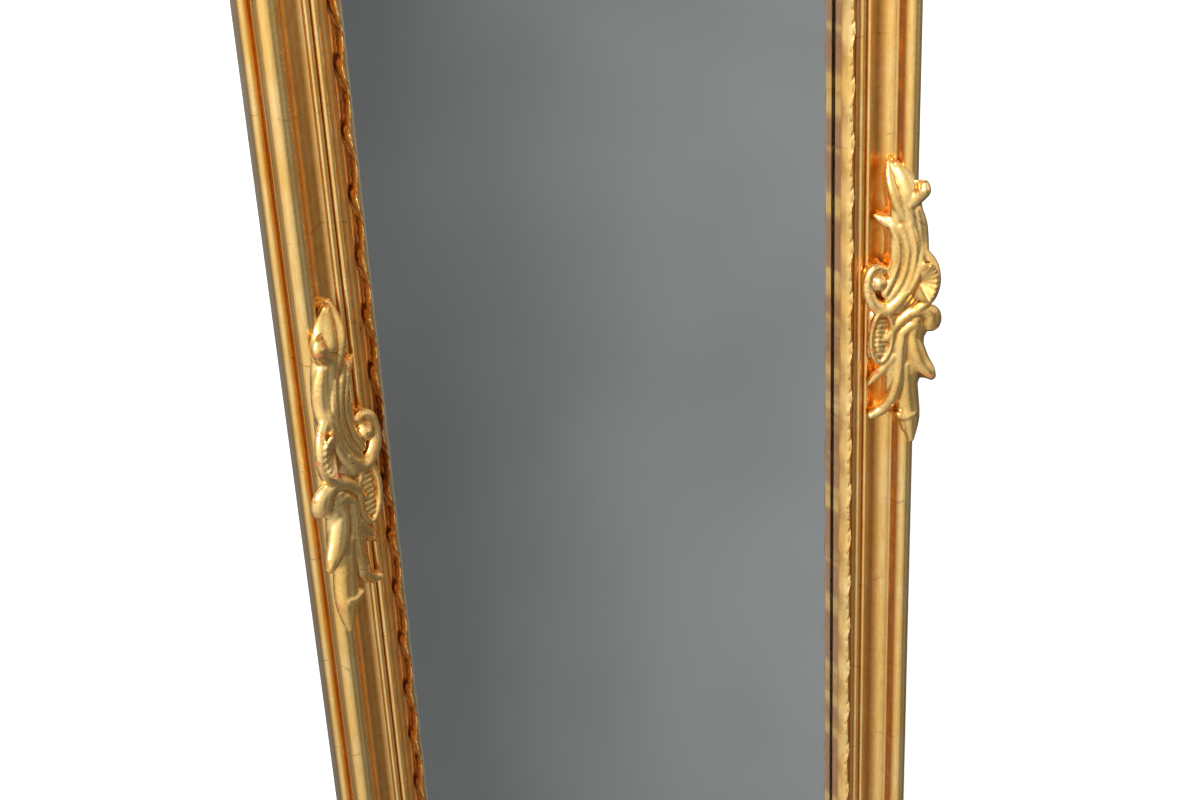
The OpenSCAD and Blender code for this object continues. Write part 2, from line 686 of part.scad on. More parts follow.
function mix(a, b, c, d, u) =
    0.5 * (2 * b + (c - a) * u + (2 * a - 5 * b + 4 * c - d) * u * u + (3 * b - a - 3 * c + d) * u * u * u);
function at(path, i) = path[max(0, min(len(path) - 1, i))];
function smooth_path(path, n) = [
    for (i = [0 : len(path) - 2], k = [0 : n - 1])
        mix(at(path, i - 1), at(path, i), at(path, i + 1), at(path, i + 2), k / n),
    path[len(path) - 1]
];
beads_per_span = 7;
crown = 0.8;
function beads(strands) = [for (path = strands) each smooth_path(path, beads_per_span)];
function bead_height(bead, s, z) = let (r = bead[3] / 2, d = norm([s - bead[0], z - bead[1]]))
    d < r ? bead[2] - crown * (r - sqrt(r * r - d * d)) : 0;
function relief_height(near, s, z) = max([0, for (bead = near) bead_height(bead, s, z)]);

// One row runs straight across the moulding, or is slanted towards the mitre on a corner.
columns = 13;
foot_level = 20;
ground_rise = 3;
row_margin = 0.4;
stations = [-6 : 1 : 72];
function ground_level(s) = (s < quirk_s ? torus_t + torus_r : seat_t) + ground_rise;
function row_points(near, z, slant) =
    let (
        covered = [for (s = stations) if (relief_height(near, s, z + s * slant) > 0) s],
        low = min(covered) - row_margin, high = max(covered) + row_margin
    ) [
        [low, -foot_level, z + low * slant],
        for (k = [0 : columns - 1])
            let (s = low + (high - low) * k / (columns - 1), h = relief_height(near, s, z + s * slant))
                [s, -max(h, ground_level(s)), z + s * slant],
        [high, -foot_level, z + high * slant]
    ];
function near_row(all, z, slant) = [
    for (bead = all) if (bead[1] + bead[3] > z && bead[1] - bead[3] < z + sight_s * slant) bead
];
module loft(rows) {
    sides = len(rows[0]);
    last = len(rows) - 1;
    polyhedron(
        points = [for (row = rows) each row],
        faces = [
            [for (k = [0 : sides - 1]) k],
            [for (k = [sides - 1 : -1 : 0]) last * sides + k],
            for (i = [0 : last - 1], k = [0 : sides - 1]) let (m = (k + 1) % sides)
                each [
                    [i * sides + k, (i + 1) * sides + m, i * sides + m],
                    [i * sides + k, (i + 1) * sides + k, (i + 1) * sides + m]
                ]
        ],
        convexity = 8
    );
}

// What the ornament sits on, in a few flats that clear the moulding and the slip by a small gap.
seat_t = max(leaf_top, ridge_t + ridge_r, inner_bead_t + bead_r) + side_gap;
edge_seat_t = wall_t + edge_bead_r + side_gap;
torus_seat_r = torus_r + side_gap;
module seat_section() mirror([0, 1]) polygon([
    [-side_gap, 0], [sight_s, 0], [sight_s, seat_t], [cove_end_s - side_gap, seat_t],
    [cove_s + side_gap, shelf_t + side_gap], [torus_s + torus_seat_r / cos(30), torus_t],
    [torus_s + torus_seat_r * tan(30), torus_t + torus_seat_r],
    [torus_s - torus_seat_r * tan(30), torus_t + torus_seat_r],
    [torus_s - torus_seat_r / cos(30), torus_t], [torus_s - torus_seat_r, edge_seat_t],
    [-side_gap, edge_seat_t]
]);

side_strands = [
    [[31, 117, 30, 3], [34, 108, 35, 8], [34, 95, 42, 12], [29, 82, 45, 14], [22, 72, 47, 12]],
    [[27, 104, 38, 7], [21, 98, 46, 9], [14, 93, 51, 9], [9, 90, 51, 6]],
    [[20, 72, 47, 12], [15, 82, 51, 11], [9, 88, 50, 6]],
    [[46, 72, 29, 3], [41, 69, 36, 9], [34, 67, 42, 12], [25, 63, 46, 13]],
    [[35, 65, 41, 7], [31, 52, 44, 8], [30, 39, 44, 8], [34, 25, 43, 8], [39, 12, 41, 9]],
    [[28, 65, 45, 7], [25, 49, 48, 8], [25, 35, 48, 8], [29, 20, 45, 8], [36, 8, 42, 8]],
    [[21, 68, 48, 7], [19, 50, 51, 8], [19, 35, 51, 8], [24, 18, 48, 8], [33, 4, 44, 8]],
    [[14, 74, 49, 8], [13, 56, 53, 9], [12, 40, 54, 9], [17, 22, 52, 8], [30, -1, 44, 7]],
    [[34, 4, 41, 9], [44, 3, 39, 9], [53, 10, 38, 8], [56, 22, 38, 8], [55, 33, 38, 8],
     [49, 39, 38, 8], [42, 36, 39, 8], [40, 28, 40, 7]],
    [[47, 21, 43, 10], [47, 23, 43, 10]],
    [[10, 38, 53, 6], [4, 32, 55, 7], [1, 21, 56, 7], [2, 9, 55, 7], [9, -2, 53, 6]],
    [[33, -28, 42, 6], [28, -18, 45, 7], [19, -10, 48, 8], [10, -7, 51, 8], [4, -11, 54, 8], [1, -19, 53, 7]],
    [[31, -36, 42, 6], [26, -24, 46, 8], [19, -16, 50, 9], [12, -16, 53, 9], [7, -22, 53, 8]],
    [[22, -18, 48, 12], [25, -33, 48, 14], [25, -49, 47, 15], [26, -66, 46, 15], [29, -80, 43, 13],
     [36, -92, 37, 10], [46, -95, 33, 5]],
    [[19, -30, 50, 10], [16, -44, 51, 11], [12, -55, 53, 10], [6, -62, 54, 8], [0, -66, 52, 4]],
    [[22, -40, 48, 12], [20, -64, 48, 15], [19, -84, 47, 15], [20, -100, 47, 13], [17, -111, 47, 9],
     [14, -118, 46, 4]],
    [[48, -67, 30, 4], [43, -61, 35, 8], [36, -53, 39, 9], [30, -43, 43, 8]]
];
fan_c = [16, 20];
fan_r = 14;
fan_ribs = [
    for (a = [115 : 26 : 245])
        [[fan_c[0], fan_c[1], 49, 5], [fan_c[0] + fan_r * cos(a), fan_c[1] + 1.3 * fan_r * sin(a), 55, 7]]
];
oval_c = [43, -20];
oval_w = 10;
oval_h = 19;
oval_rim = [[for (a = [0 : 30 : 360]) [oval_c[0] + oval_w * cos(a), oval_c[1] + oval_h * sin(a), 41, 6]]];
oval_ribs = [
    for (z = [-12 : 6 : 12]) [[oval_c[0] - 5, oval_c[1] + z, 42, 5], [oval_c[0] + 5, oval_c[1] + z, 42, 5]]
];
side_rows = [-118 : 4 : 114];

module side_ornament(side) leaned() color(gold)
    flip(side) translate([frame_w / 2, 0, ornament_z]) mirror([1, 0, 0]) difference() {
        relief = beads(concat(side_strands, fan_ribs, oval_rim, oval_ribs));
        loft([for (z = side_rows) row_points(near_row(relief, z, 0), z, 0)]);
        translate([0, 0, -reach / 2]) linear_extrude(reach) seat_section();
    }
module left_side_ornament() side_ornament(-1);
module right_side_ornament() side_ornament(1);

// One arm of a corner ornament, along z from the mitre. The other arm is its mirror image.
corner_strands = [
    [[1, 1, 52, 6], [10, 10, 60, 12], [24, 24, 64, 15], [40, 40, 58, 16], [54, 54, 44, 9], [62, 62, 33, 4]],
    [[22, 26, 58, 10], [15, 60, 62, 12], [12, 95, 62, 11], [18, 128, 55, 9], [30, 150, 45, 4]],
    [[30, 34, 56, 9], [37, 62, 54, 11], [33, 95, 54, 10], [26, 120, 53, 8], [24, 140, 49, 4]],
    [[34, 68, 52, 8], [45, 86, 50, 8], [56, 76, 48, 8], [54, 60, 48, 8], [45, 58, 49, 7], [43, 67, 50, 6]],
    [[33, 100, 51, 8], [43, 112, 44, 9], [50, 126, 34, 4]],
    [[15, 68, 61, 9], [7, 84, 64, 9], [3, 99, 59, 4]],
    [[26, 30, 60, 10], [36, 48, 54, 12], [44, 62, 42, 4]],
    [[20, 62, 64, 8], [26, 78, 60, 8], [24, 96, 60, 8], [20, 114, 58, 7]]
];
mitre_fade = 90;
function corner_relief(half) = concat(half, [for (bead = half) [bead[1], bead[0], bead[2], bead[3]]]);
function corner_rows(relief) = [for (z = [0 : 6 : 144])
    let (slant = max(0, 1 - z / mitre_fade)) row_points(near_row(relief, z, slant), z, slant)];
function both_arms(rows) = concat(
    [for (i = [len(rows) - 1 : -1 : 1]) [for (p = rows[i]) [p[2], p[1], p[0]]]],
    rows
);
module corner_seat_arm() intersection() {
    translate([0, 0, -reach / 2]) linear_extrude(reach) seat_section();
    rotate([90, 0, 0]) linear_extrude(reach, center = true)
        polygon([[-reach, -reach - overcut], [reach, reach - overcut], [-reach, reach]]);
}
module corner_ornament(side, top) leaned() color(gold) at_corner(side, top) difference() {
    loft(both_arms(corner_rows(corner_relief(beads(corner_strands)))));
    corner_seat_arm();
    mirror([1, 0, -1]) corner_seat_arm();
}
module top_left_ornament() corner_ornament(-1, true);
module top_right_ornament() corner_ornament(1, true);
module bottom_left_ornament() corner_ornament(-1, false);
module bottom_right_ornament() corner_ornament(1, false);

// ---- Nodes ----

left_stile();
right_stile();
top_rail();
bottom_rail();
left_leaf_slip();
right_leaf_slip();
top_leaf_slip();
bottom_leaf_slip();
left_side_ornament();
right_side_ornament();
top_left_ornament();
top_right_ornament();
bottom_left_ornament();
bottom_right_ornament();
mirror_glass();
glass_setting_blocks();
back_panel();
panel_clips();
panel_clip_screws();
corner_braces();
corner_brace_screws();
hinge_batten();
stay_batten();
batten_screws();
left_hinge_frame_leaf();
right_hinge_frame_leaf();
left_hinge_pin();
right_hinge_pin();
hinge_frame_screws();
left_stay_bracket();
right_stay_bracket();
left_stay_rivet();
right_stay_rivet();
stay_bracket_screws();
left_hanger_strap();
right_hanger_strap();
hanger_screws();
left_frame_foot();
right_frame_foot();
left_leg_upright();
right_leg_upright();
leg_top_rail();
leg_middle_rail();
leg_bottom_rail();
left_hinge_leg_leaf();
right_hinge_leg_leaf();
hinge_leg_screws();
left_slot_plate();
right_slot_plate();
slot_plate_screws();
leg_rail_screws();
left_leg_foot();
right_leg_foot();
left_stay_arm();
left_stay_stud();
right_stay_arm();
right_stay_stud();
left_hanger_ring();
right_hanger_ring();
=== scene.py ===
"""Gilt floor mirror: the visual model built round its fixed CAD frame."""

import math

import bmesh
import bpy
import numpy as np
from bpy.props import FloatProperty, FloatVectorProperty, IntProperty, PointerProperty
from mathutils import Matrix, Vector, noise


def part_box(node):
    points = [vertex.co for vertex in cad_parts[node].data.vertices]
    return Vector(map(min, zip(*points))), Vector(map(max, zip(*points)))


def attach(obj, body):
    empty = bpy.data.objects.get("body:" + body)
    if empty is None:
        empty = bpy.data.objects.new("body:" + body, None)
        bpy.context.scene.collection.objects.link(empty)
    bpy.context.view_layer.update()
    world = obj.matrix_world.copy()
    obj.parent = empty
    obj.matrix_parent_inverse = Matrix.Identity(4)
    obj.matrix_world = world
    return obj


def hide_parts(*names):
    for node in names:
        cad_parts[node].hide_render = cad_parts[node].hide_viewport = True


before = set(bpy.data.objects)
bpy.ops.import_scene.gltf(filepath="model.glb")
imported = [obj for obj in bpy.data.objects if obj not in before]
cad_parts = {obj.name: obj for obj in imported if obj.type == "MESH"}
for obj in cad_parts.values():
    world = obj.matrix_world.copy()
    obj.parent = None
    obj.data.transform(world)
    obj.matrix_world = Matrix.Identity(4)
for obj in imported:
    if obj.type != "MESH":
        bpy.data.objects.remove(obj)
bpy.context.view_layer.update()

bl_info = {
    "name": "Gilt Floor Mirror",
    "version": (1, 0, 0),
    "blender": (4, 5, 0),
    "location": "3D View > Sidebar > Floor Mirror",
    "description": "Builds the gilding, ornaments, glass and finishes of a leaning floor mirror",
    "category": "Object",
}

MM = 0.001
GLASS_MIDDLE = 11.8 * MM    # of the glass plate, in front of the frame's back plane
SILVER_MIDDLE = 9.9 * MM
SILVER = 0.08 * MM
GLASS_PLAY = 2.2 * MM       # between the glass edge and the rebate's wall
EASE = 0.35 * MM            # how far the moulding's sharp corners are eased
SPINE = 27                  # mm from the outer edge to the line that an ornament's webs lean towards
MAP_STEP = 2.37             # how far apart the four lengths lie on their shared map
SHEET = 0.078               # length of one sheet of gold leaf in metres


def tone(red, green, blue):
    """A colour given as display values from 0 to 255, made linear."""
    def linear(value):
        value /= 255
        return value / 12.92 if value <= 0.04045 else ((value + 0.055) / 1.055) ** 2.4
    return (linear(red), linear(green), linear(blue))


def colour(label, text, value):
    return FloatVectorProperty(name=label, description=text, default=value, subtype="COLOR", min=0, max=1)


def length(label, text, value):
    return FloatProperty(name=label, description=text, default=value * MM, unit="LENGTH", precision=5)


# ---- Settings ----

class FrameSizes(bpy.types.PropertyGroup):
    width: length("Width", "Outer width of the frame", 520)
    height: length("Height", "Outer height of the frame", 1700)
    lean: FloatProperty(name="Lean", description="Lean back from the vertical",
                        default=math.radians(5.5), subtype="ANGLE")
    edge_bead: length("Edge bead", "Radius of the bead on the outer edge", 3.9)
    wall: length("Outer wall", "Height of the outer wall up to the edge bead's centre", 21.6)
    wall_bevel: length("Wall bevel", "Inward slope of the outer wall down to the back plane", 4.2)
    bead_lap: length("Bead lap", "Overlap of the torus over the edge bead", 2.2)
    torus: length("Torus", "Radius of the bold outer torus", 8.1)
    torus_mid: length("Torus middle", "Depth of the torus centre in front of the back plane", 33.3)
    torus_line: length("Torus line", "Distance of the torus centre from the outer edge", 13.7)
    shelf: length("Shelf", "Depth of the shelf between torus and cove", 31)
    cove_start: length("Cove start", "Distance of the cove's outer edge from the outer edge", 23.6)
    cove: length("Cove", "Radius of the hollow cove", 14)
    cove_line: length("Cove line", "Distance of the cove's centre from the outer edge", 36.7)
    cove_mid: length("Cove middle", "Depth of the cove's centre", 35.8)
    cove_end: length("Cove end", "Distance of the cove's inner edge from the outer edge", 40.9)
    ridge: length("Ridge", "Radius of the ridge inside the cove", 2.5)
    ridge_line: length("Ridge line", "Distance of the ridge from the outer edge", 43.4)
    ridge_mid: length("Ridge middle", "Depth of the ridge's centre", 22.3)
    ground: length("Ground", "Depth of the flat between ridge and inner bead", 21.4)
    bead: length("Inner bead", "Radius of the inner bead", 2.9)
    bead_line: length("Inner bead line", "Distance of the inner bead from the outer edge", 49.4)
    bead_mid: length("Inner bead middle", "Depth of the inner bead's centre", 21)
    fillet: length("Fillet", "Width of each inner fillet", 3.05)
    fillet_line: length("Fillet line", "Distance of the first fillet from the outer edge", 52.3)
    fillet_top: length("Fillet depth", "Depth of the first fillet", 22.4)
    fillet_drop: length("Fillet drop", "Drop from the first fillet to the second", 1.6)
    moulding_width: length("Moulding width", "Width of the moulding up to the crack beside the slip", 58.4)
    rebate_line: length("Rebate line", "Distance of the rebate's wall from the outer edge", 50.1)
    rebate: length("Rebate", "Depth of the rebate from the back plane", 18)
    waviness: length("Waviness", "How far the hand-finished surface strays from true", 0.14)
    step: length("Step", "Distance between the cross lines of a moulding's mesh", 12)


class SlipSizes(bpy.types.PropertyGroup):
    start: length("Start", "Distance of the leaf moulding from the outer edge", 59.1)
    width: length("Width", "Width of the leaf moulding", 9)
    top: length("Top", "Depth of the leaf tips in front of the back plane", 29.2)
    foot: length("Foot", "Depth at which the leaf moulding meets its tongue", 18)
    lip: length("Lip", "Depth of the sight edge beside the glass", 20.6)
    tongue_line: length("Tongue line", "Distance of the tongue's hidden edge from the outer edge", 50.8)
    tongue: length("Tongue", "Depth of the tongue's back face", 14)
    pitch: length("Leaf pitch", "Length of one leaf of the running pattern", 42)
    relief: length("Relief", "How far the leaf tips stand above the hollows between them", 2.6)
    scallop: length("Scallop", "How far the leaf's outer edge swings in between the tips", 2.2)
    rows: IntProperty(name="Rows", description="Mesh rows in one leaf", default=30, min=12, max=48)


class OrnamentSizes(bpy.types.PropertyGroup):
    middle: length("Middle", "Height of the side ornaments' middle", 860)
    nudge: length("Nudge", "How far the side ornaments are glued off their line, both to the same hand", 1.6)
    voxel: length("Grain", "Finest detail kept when the strands are joined", 0.85)


class FinishColours(bpy.types.PropertyGroup):
    gold: colour("Gold", "Clean gold leaf", tone(246, 200, 112))
    pale_gold: colour("Pale gold", "Rubbed gold leaf", tone(252, 216, 142))
    # Deep gold is laid in random streaks, and in the recesses as toner and painted shade.
    deep_gold: colour("Deep gold", "Toned gold in the hollows", tone(196, 126, 38))
    bole: colour("Bole", "Red clay under the leaf", tone(122, 40, 16))
    bright_bole: colour("Bright bole", "Freshly rubbed clay", tone(214, 88, 28))
    # The crack colour darkens the joint beside the slip, and paints shade into the deepest creases.
    crack: colour("Crack", "Dirt in the deepest lines", tone(62, 26, 12))
    glass: colour("Glass", "Tint of the mirror", tone(236, 240, 240))
    wood: colour("Wood", "Planed softwood", tone(206, 172, 124))
    dark_wood: colour("Wood grain", "Late wood and knots", tone(158, 112, 66))
    board: colour("Board", "Brown hardboard", tone(122, 86, 54))
    steel: colour("Steel", "Zinc plate", tone(176, 180, 184))
    brass: colour("Brass", "Dull rolled brass", tone(190, 150, 84))
    rubber: colour("Rubber", "Black rubber", tone(32, 32, 33))


class StudioSettings(bpy.types.PropertyGroup):
    lens: FloatProperty(name="Lens", description="Focal length in millimetres", default=56.4)
    camera_across: length("Camera across", "Camera position across the frame", -631)
    camera_out: length("Camera out", "Camera distance in front of the frame's back plane", 1097)
    camera_up: length("Camera up", "Camera position along the frame from its bottom", 1427)
    aim: FloatVectorProperty(name="Aim", description="Viewing direction in the frame's own axes",
                             default=(0.44374, 0.78811, -0.42659))
    key: FloatProperty(name="Key light", description="Strength of the light from the upper left", default=1.9)
    fill: FloatProperty(name="Fill light", description="Strength of the light from the right", default=0.35)
    back: FloatProperty(name="Back light", description="Strength of the light from behind", default=0.9)


# ---- Placing ----

def leaned():
    """From the frame's own axes (across, back, up from its bottom) to the world."""
    sizes = bpy.context.scene.mirror_frame
    low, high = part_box("mirror_glass")
    glass_middle = Vector((0, -GLASS_MIDDLE, sizes.height / 2))
    turn = Matrix.Rotation(-sizes.lean, 4, "X")
    return Matrix.Translation((low + high) / 2 - turn @ glass_middle) @ turn


def on_side(side):
    """From section axes (inward, forward, along) to the frame's own axes, for one of its four sides."""
    sizes = bpy.context.scene.mirror_frame
    half = sizes.width / 2
    if side == "left":
        rows = ((1, 0, 0, -half), (0, -1, 0, 0), (0, 0, 1, 0))
    elif side == "right":
        rows = ((-1, 0, 0, half), (0, -1, 0, 0), (0, 0, 1, 0))
    elif side == "bottom":
        rows = ((0, 0, 1, -half), (0, -1, 0, 0), (1, 0, 0, 0))
    else:
        rows = ((0, 0, 1, -half), (0, -1, 0, 0), (-1, 0, 0, sizes.height))
    return Matrix(rows + ((0, 0, 0, 1),))


def side_length(side):
    sizes = bpy.context.scene.mirror_frame
    return sizes.height if side in ("left", "right") else sizes.width


SIDES = {"left": "left_stile", "right": "right_stile", "top": "top_rail", "bottom": "bottom_rail"}


# ---- Mesh helpers ----

def arc(across, out, radius, start, end, steps):
    """Points of an arc in the section, by its centre, radius and angles in degrees."""
    turns = [math.radians(start + (end - start) * k / steps) for k in range(steps + 1)]
    return [(across + radius * math.cos(a), out + radius * math.sin(a)) for a in turns]


def swept(points_round, points_along, where):
    """A closed tube: where(i, j) gives the place of point i round the section at row j."""
    bm = bmesh.new()
    bmesh.ops.create_grid(bm, x_segments=points_round, y_segments=points_along, size=0.5)
    for v in bm.verts:
        i = round((v.co.x + 0.5) * points_round)
        j = round((v.co.y + 0.5) * points_along)
        v.co = where(i % points_round, j)
    return bm


def lay_section(bm, number):
    """Writes the distance from the outer edge and along the length to a UV map, each length in its own stretch."""
    lay = bm.loops.layers.uv.new("Section")
    for face in bm.faces:
        for loop in face.loops:
            loop[lay].uv = (loop.vert.co.x, loop.vert.co.z + number * MAP_STEP)


def close_up(bm, dist):
    """Merges points that meet, fills open rims and turns all faces outwards."""
    bmesh.ops.remove_doubles(bm, verts=bm.verts, dist=dist)
    rims = [e for e in bm.edges if e.is_boundary]
    if rims:
        bmesh.ops.holes_fill(bm, edges=rims)
    bmesh.ops.recalc_face_normals(bm, faces=bm.faces)


def finish_mesh(bm, name, matrix, body, material, nodes=(), sharp=40):
    """Closes and places a mesh, and hands it to the body that carries it."""
    close_up(bm, 1e-6)
    bmesh.ops.transform(bm, matrix=matrix, verts=bm.verts)
    bmesh.ops.recalc_face_normals(bm, faces=bm.faces)
    mesh = bpy.data.meshes.new(name)
    bm.to_mesh(mesh)
    bm.free()
    mesh.shade_smooth()
    mesh.set_sharp_from_angle(angle=math.radians(sharp))
    piece = bpy.data.objects.new(name, mesh)
    bpy.context.scene.collection.objects.link(piece)
    mesh.materials.append(material)
    if nodes:
        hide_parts(*nodes)
    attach(piece, body)
    return piece


def mark_hollows(mesh, *scales):
    """Keeps how hollow and how proud (0 to 1) each point is, from pairs of smoothing rounds and full depth. The
    hollow level drives the painted crease shade in the gilding.
    """
    count = len(mesh.vertices)
    points = np.zeros(count * 3)
    mesh.vertices.foreach_get("co", points)
    points = points.reshape(-1, 3)
    normals = np.zeros(count * 3)
    mesh.vertices.foreach_get("normal", normals)
    normals = normals.reshape(-1, 3)
    ends = np.zeros(len(mesh.edges) * 2, int)
    mesh.edges.foreach_get("vertices", ends)
    a, b = ends.reshape(-1, 2).T
    links = np.bincount(np.concatenate([a, b]), minlength=count).clip(1)[:, None]
    soft = points.copy()
    done = 0
    levels = {"hollow": np.zeros(count), "proud": np.zeros(count)}
    for rounds, depth in scales:
        for _ in range(rounds - done):
            total = np.stack([np.bincount(a, soft[b, k], count) + np.bincount(b, soft[a, k], count)
                              for k in range(3)], axis=1)
            soft = (soft + total / links) / 2
        done = rounds
        rise = ((soft - points) * normals).sum(axis=1) / depth
        levels["hollow"] = np.maximum(levels["hollow"], rise)
        levels["proud"] = np.maximum(levels["proud"], -rise)
    for name, value in levels.items():
        layer = mesh.attributes.new(name, "FLOAT", "POINT")
        layer.data.foreach_set("value", np.clip(value, 0, 1).astype(np.float32))


# ---- Materials ----

class Finish:
    """A material being wired: short calls that add nodes and links."""

    def __init__(self, name):
        self.material = bpy.data.materials.new(name)
        self.material.use_nodes = True
        self.tree = self.material.node_tree
        self.tree.nodes.clear()
        self.shader = self.add("ShaderNodeBsdfPrincipled")
        out = self.add("ShaderNodeOutputMaterial")
        self.link(self.shader.outputs["BSDF"], out.inputs["Surface"])

    def add(self, kind, **settings):
        node = self.tree.nodes.new(kind)
        for key, value in settings.items():
            setattr(node, key, value)
        return node

    def link(self, output, socket):
        self.tree.links.new(output, socket)

    def put(self, socket, value):
        """A plain value or another node's output on a socket."""
        if isinstance(value, bpy.types.NodeSocket):
            self.link(value, socket)
        elif isinstance(socket.default_value, float) or isinstance(value, (int, float)):
            socket.default_value = value
        else:
            socket.default_value = (*value, 1)[:len(socket.default_value)]

    def coordinates(self, source="Object", scale=(1, 1, 1), turn=(0, 0, 0), shift=(0, 0, 0)):
        texture = self.add("ShaderNodeTexCoord")
        mapping = self.add("ShaderNodeMapping")
        mapping.inputs["Scale"].default_value = scale
        mapping.inputs["Rotation"].default_value = turn
        mapping.inputs["Location"].default_value = shift
        self.link(texture.outputs[source], mapping.inputs["Vector"])
        return mapping.outputs["Vector"]

    def split(self, vector):
        node = self.add("ShaderNodeSeparateXYZ")
        self.link(vector, node.inputs[0])
        return tuple(node.outputs)

    def noise(self, vector, scale, detail=3, rough=0.55):
        node = self.add("ShaderNodeTexNoise")
        self.link(vector, node.inputs["Vector"])
        node.inputs["Scale"].default_value = scale
        node.inputs["Detail"].default_value = detail
        node.inputs["Roughness"].default_value = rough
        return node.outputs["Fac"]

    def math(self, operation, a, b=0.0, clamp=False):
        node = self.add("ShaderNodeMath", operation=operation, use_clamp=clamp)
        for socket, value in zip(node.inputs, (a, b)):
            self.put(socket, value)
        return node.outputs[0]

    def times(self, a, b):
        return self.math("MULTIPLY", a, b)

    def between(self, value, low, high, to_low=0.0, to_high=1.0):
        """value read smoothly from low..high to to_low..to_high."""
        node = self.add("ShaderNodeMapRange", interpolation_type="SMOOTHSTEP")
        for socket, v in zip(node.inputs, (value, low, high, to_low, to_high)):
            self.put(socket, v)
        return node.outputs[0]

    def blend(self, share, a, b):
        node = self.add("ShaderNodeMix", data_type="RGBA")
        self.put(node.inputs[0], share)
        self.put(node.inputs[6], a)
        self.put(node.inputs[7], b)
        return node.outputs[2]

    def stops(self, value, marks):
        """A ramp by (position, level) marks."""
        node = self.add("ShaderNodeValToRGB")
        ramp = node.color_ramp
        while len(ramp.elements) > 1:
            ramp.elements.remove(ramp.elements[-1])
        for k, (position, level) in enumerate(marks):
            element = ramp.elements[0] if k == 0 else ramp.elements.new(position)
            element.position = position
            element.color = (level, level, level, 1)
        self.put(node.inputs[0], value)
        return node.outputs["Color"]

    def attribute(self, name):
        return self.add("ShaderNodeAttribute", attribute_name=name).outputs["Fac"]

    def bump(self, height, distance, strength=1.0, normal=None):
        node = self.add("ShaderNodeBump")
        node.inputs["Strength"].default_value = strength
        node.inputs["Distance"].default_value = distance
        self.link(height, node.inputs["Height"])
        if normal is not None:
            self.link(normal, node.inputs["Normal"])
        return node.outputs["Normal"]

    def set(self, **sockets):
        for key, value in sockets.items():
            self.put(self.shader.inputs[key.replace("_", " ").title().replace("Ior", "IOR")], value)


# How much grime, bare clay and painted crease shade (0 to 1) the moulding holds, by the distance from its outer edge
# in mm.
MOULDING_DIRT_AND_SHADE = [(0, 0.1), (2.5, 0), (5.8, 0.1), (6.8, 0.55), (7.7, 0.05), (18, 0), (20.9, 0.1), (21.6, 0.8),
                 (22.3, 0.7), (22.9, 0.1), (37.5, 0), (40.2, 0.3), (41, 0.05), (45.2, 0.1), (46.2, 0.45),
                 (47, 0.2), (48, 0), (51, 0.05), (52.3, 0.6), (53.4, 0.15), (55.2, 0.55), (56.5, 0.35), (58.4, 1)]
# How deep its gold is made by toner, and by painted shade in the recesses, in the same way.
MOULDING_TONE_AND_SHADE = [(0, 0.3), (3, 0), (5.6, 0.2), (6.8, 0.7), (7.8, 0.1), (12, 0), (19, 0.1), (21.6, 0.9), (22.8, 0.3),
                 (27, 0.15), (31, 0.9), (37, 1), (40, 0.45), (42, 0.05), (44.6, 0.1), (46.2, 0.95), (47.4, 0.2),
                 (49.5, 0), (52.3, 0.8), (54, 0.5), (56, 0.95), (58.4, 1)]
# The same two for the slip.
SLIP_DIRT_AND_SHADE = [(58, 1), (59.1, 0.9), (59.2, 0.5), (59.4, 0), (66, 0), (67, 0.3), (67.8, 0.62), (68.1, 0.7)]
SLIP_TONE_AND_SHADE = [(58, 1), (59.1, 0.9), (59.3, 0.2), (64, 0), (67, 0.2), (68.1, 0.5)]


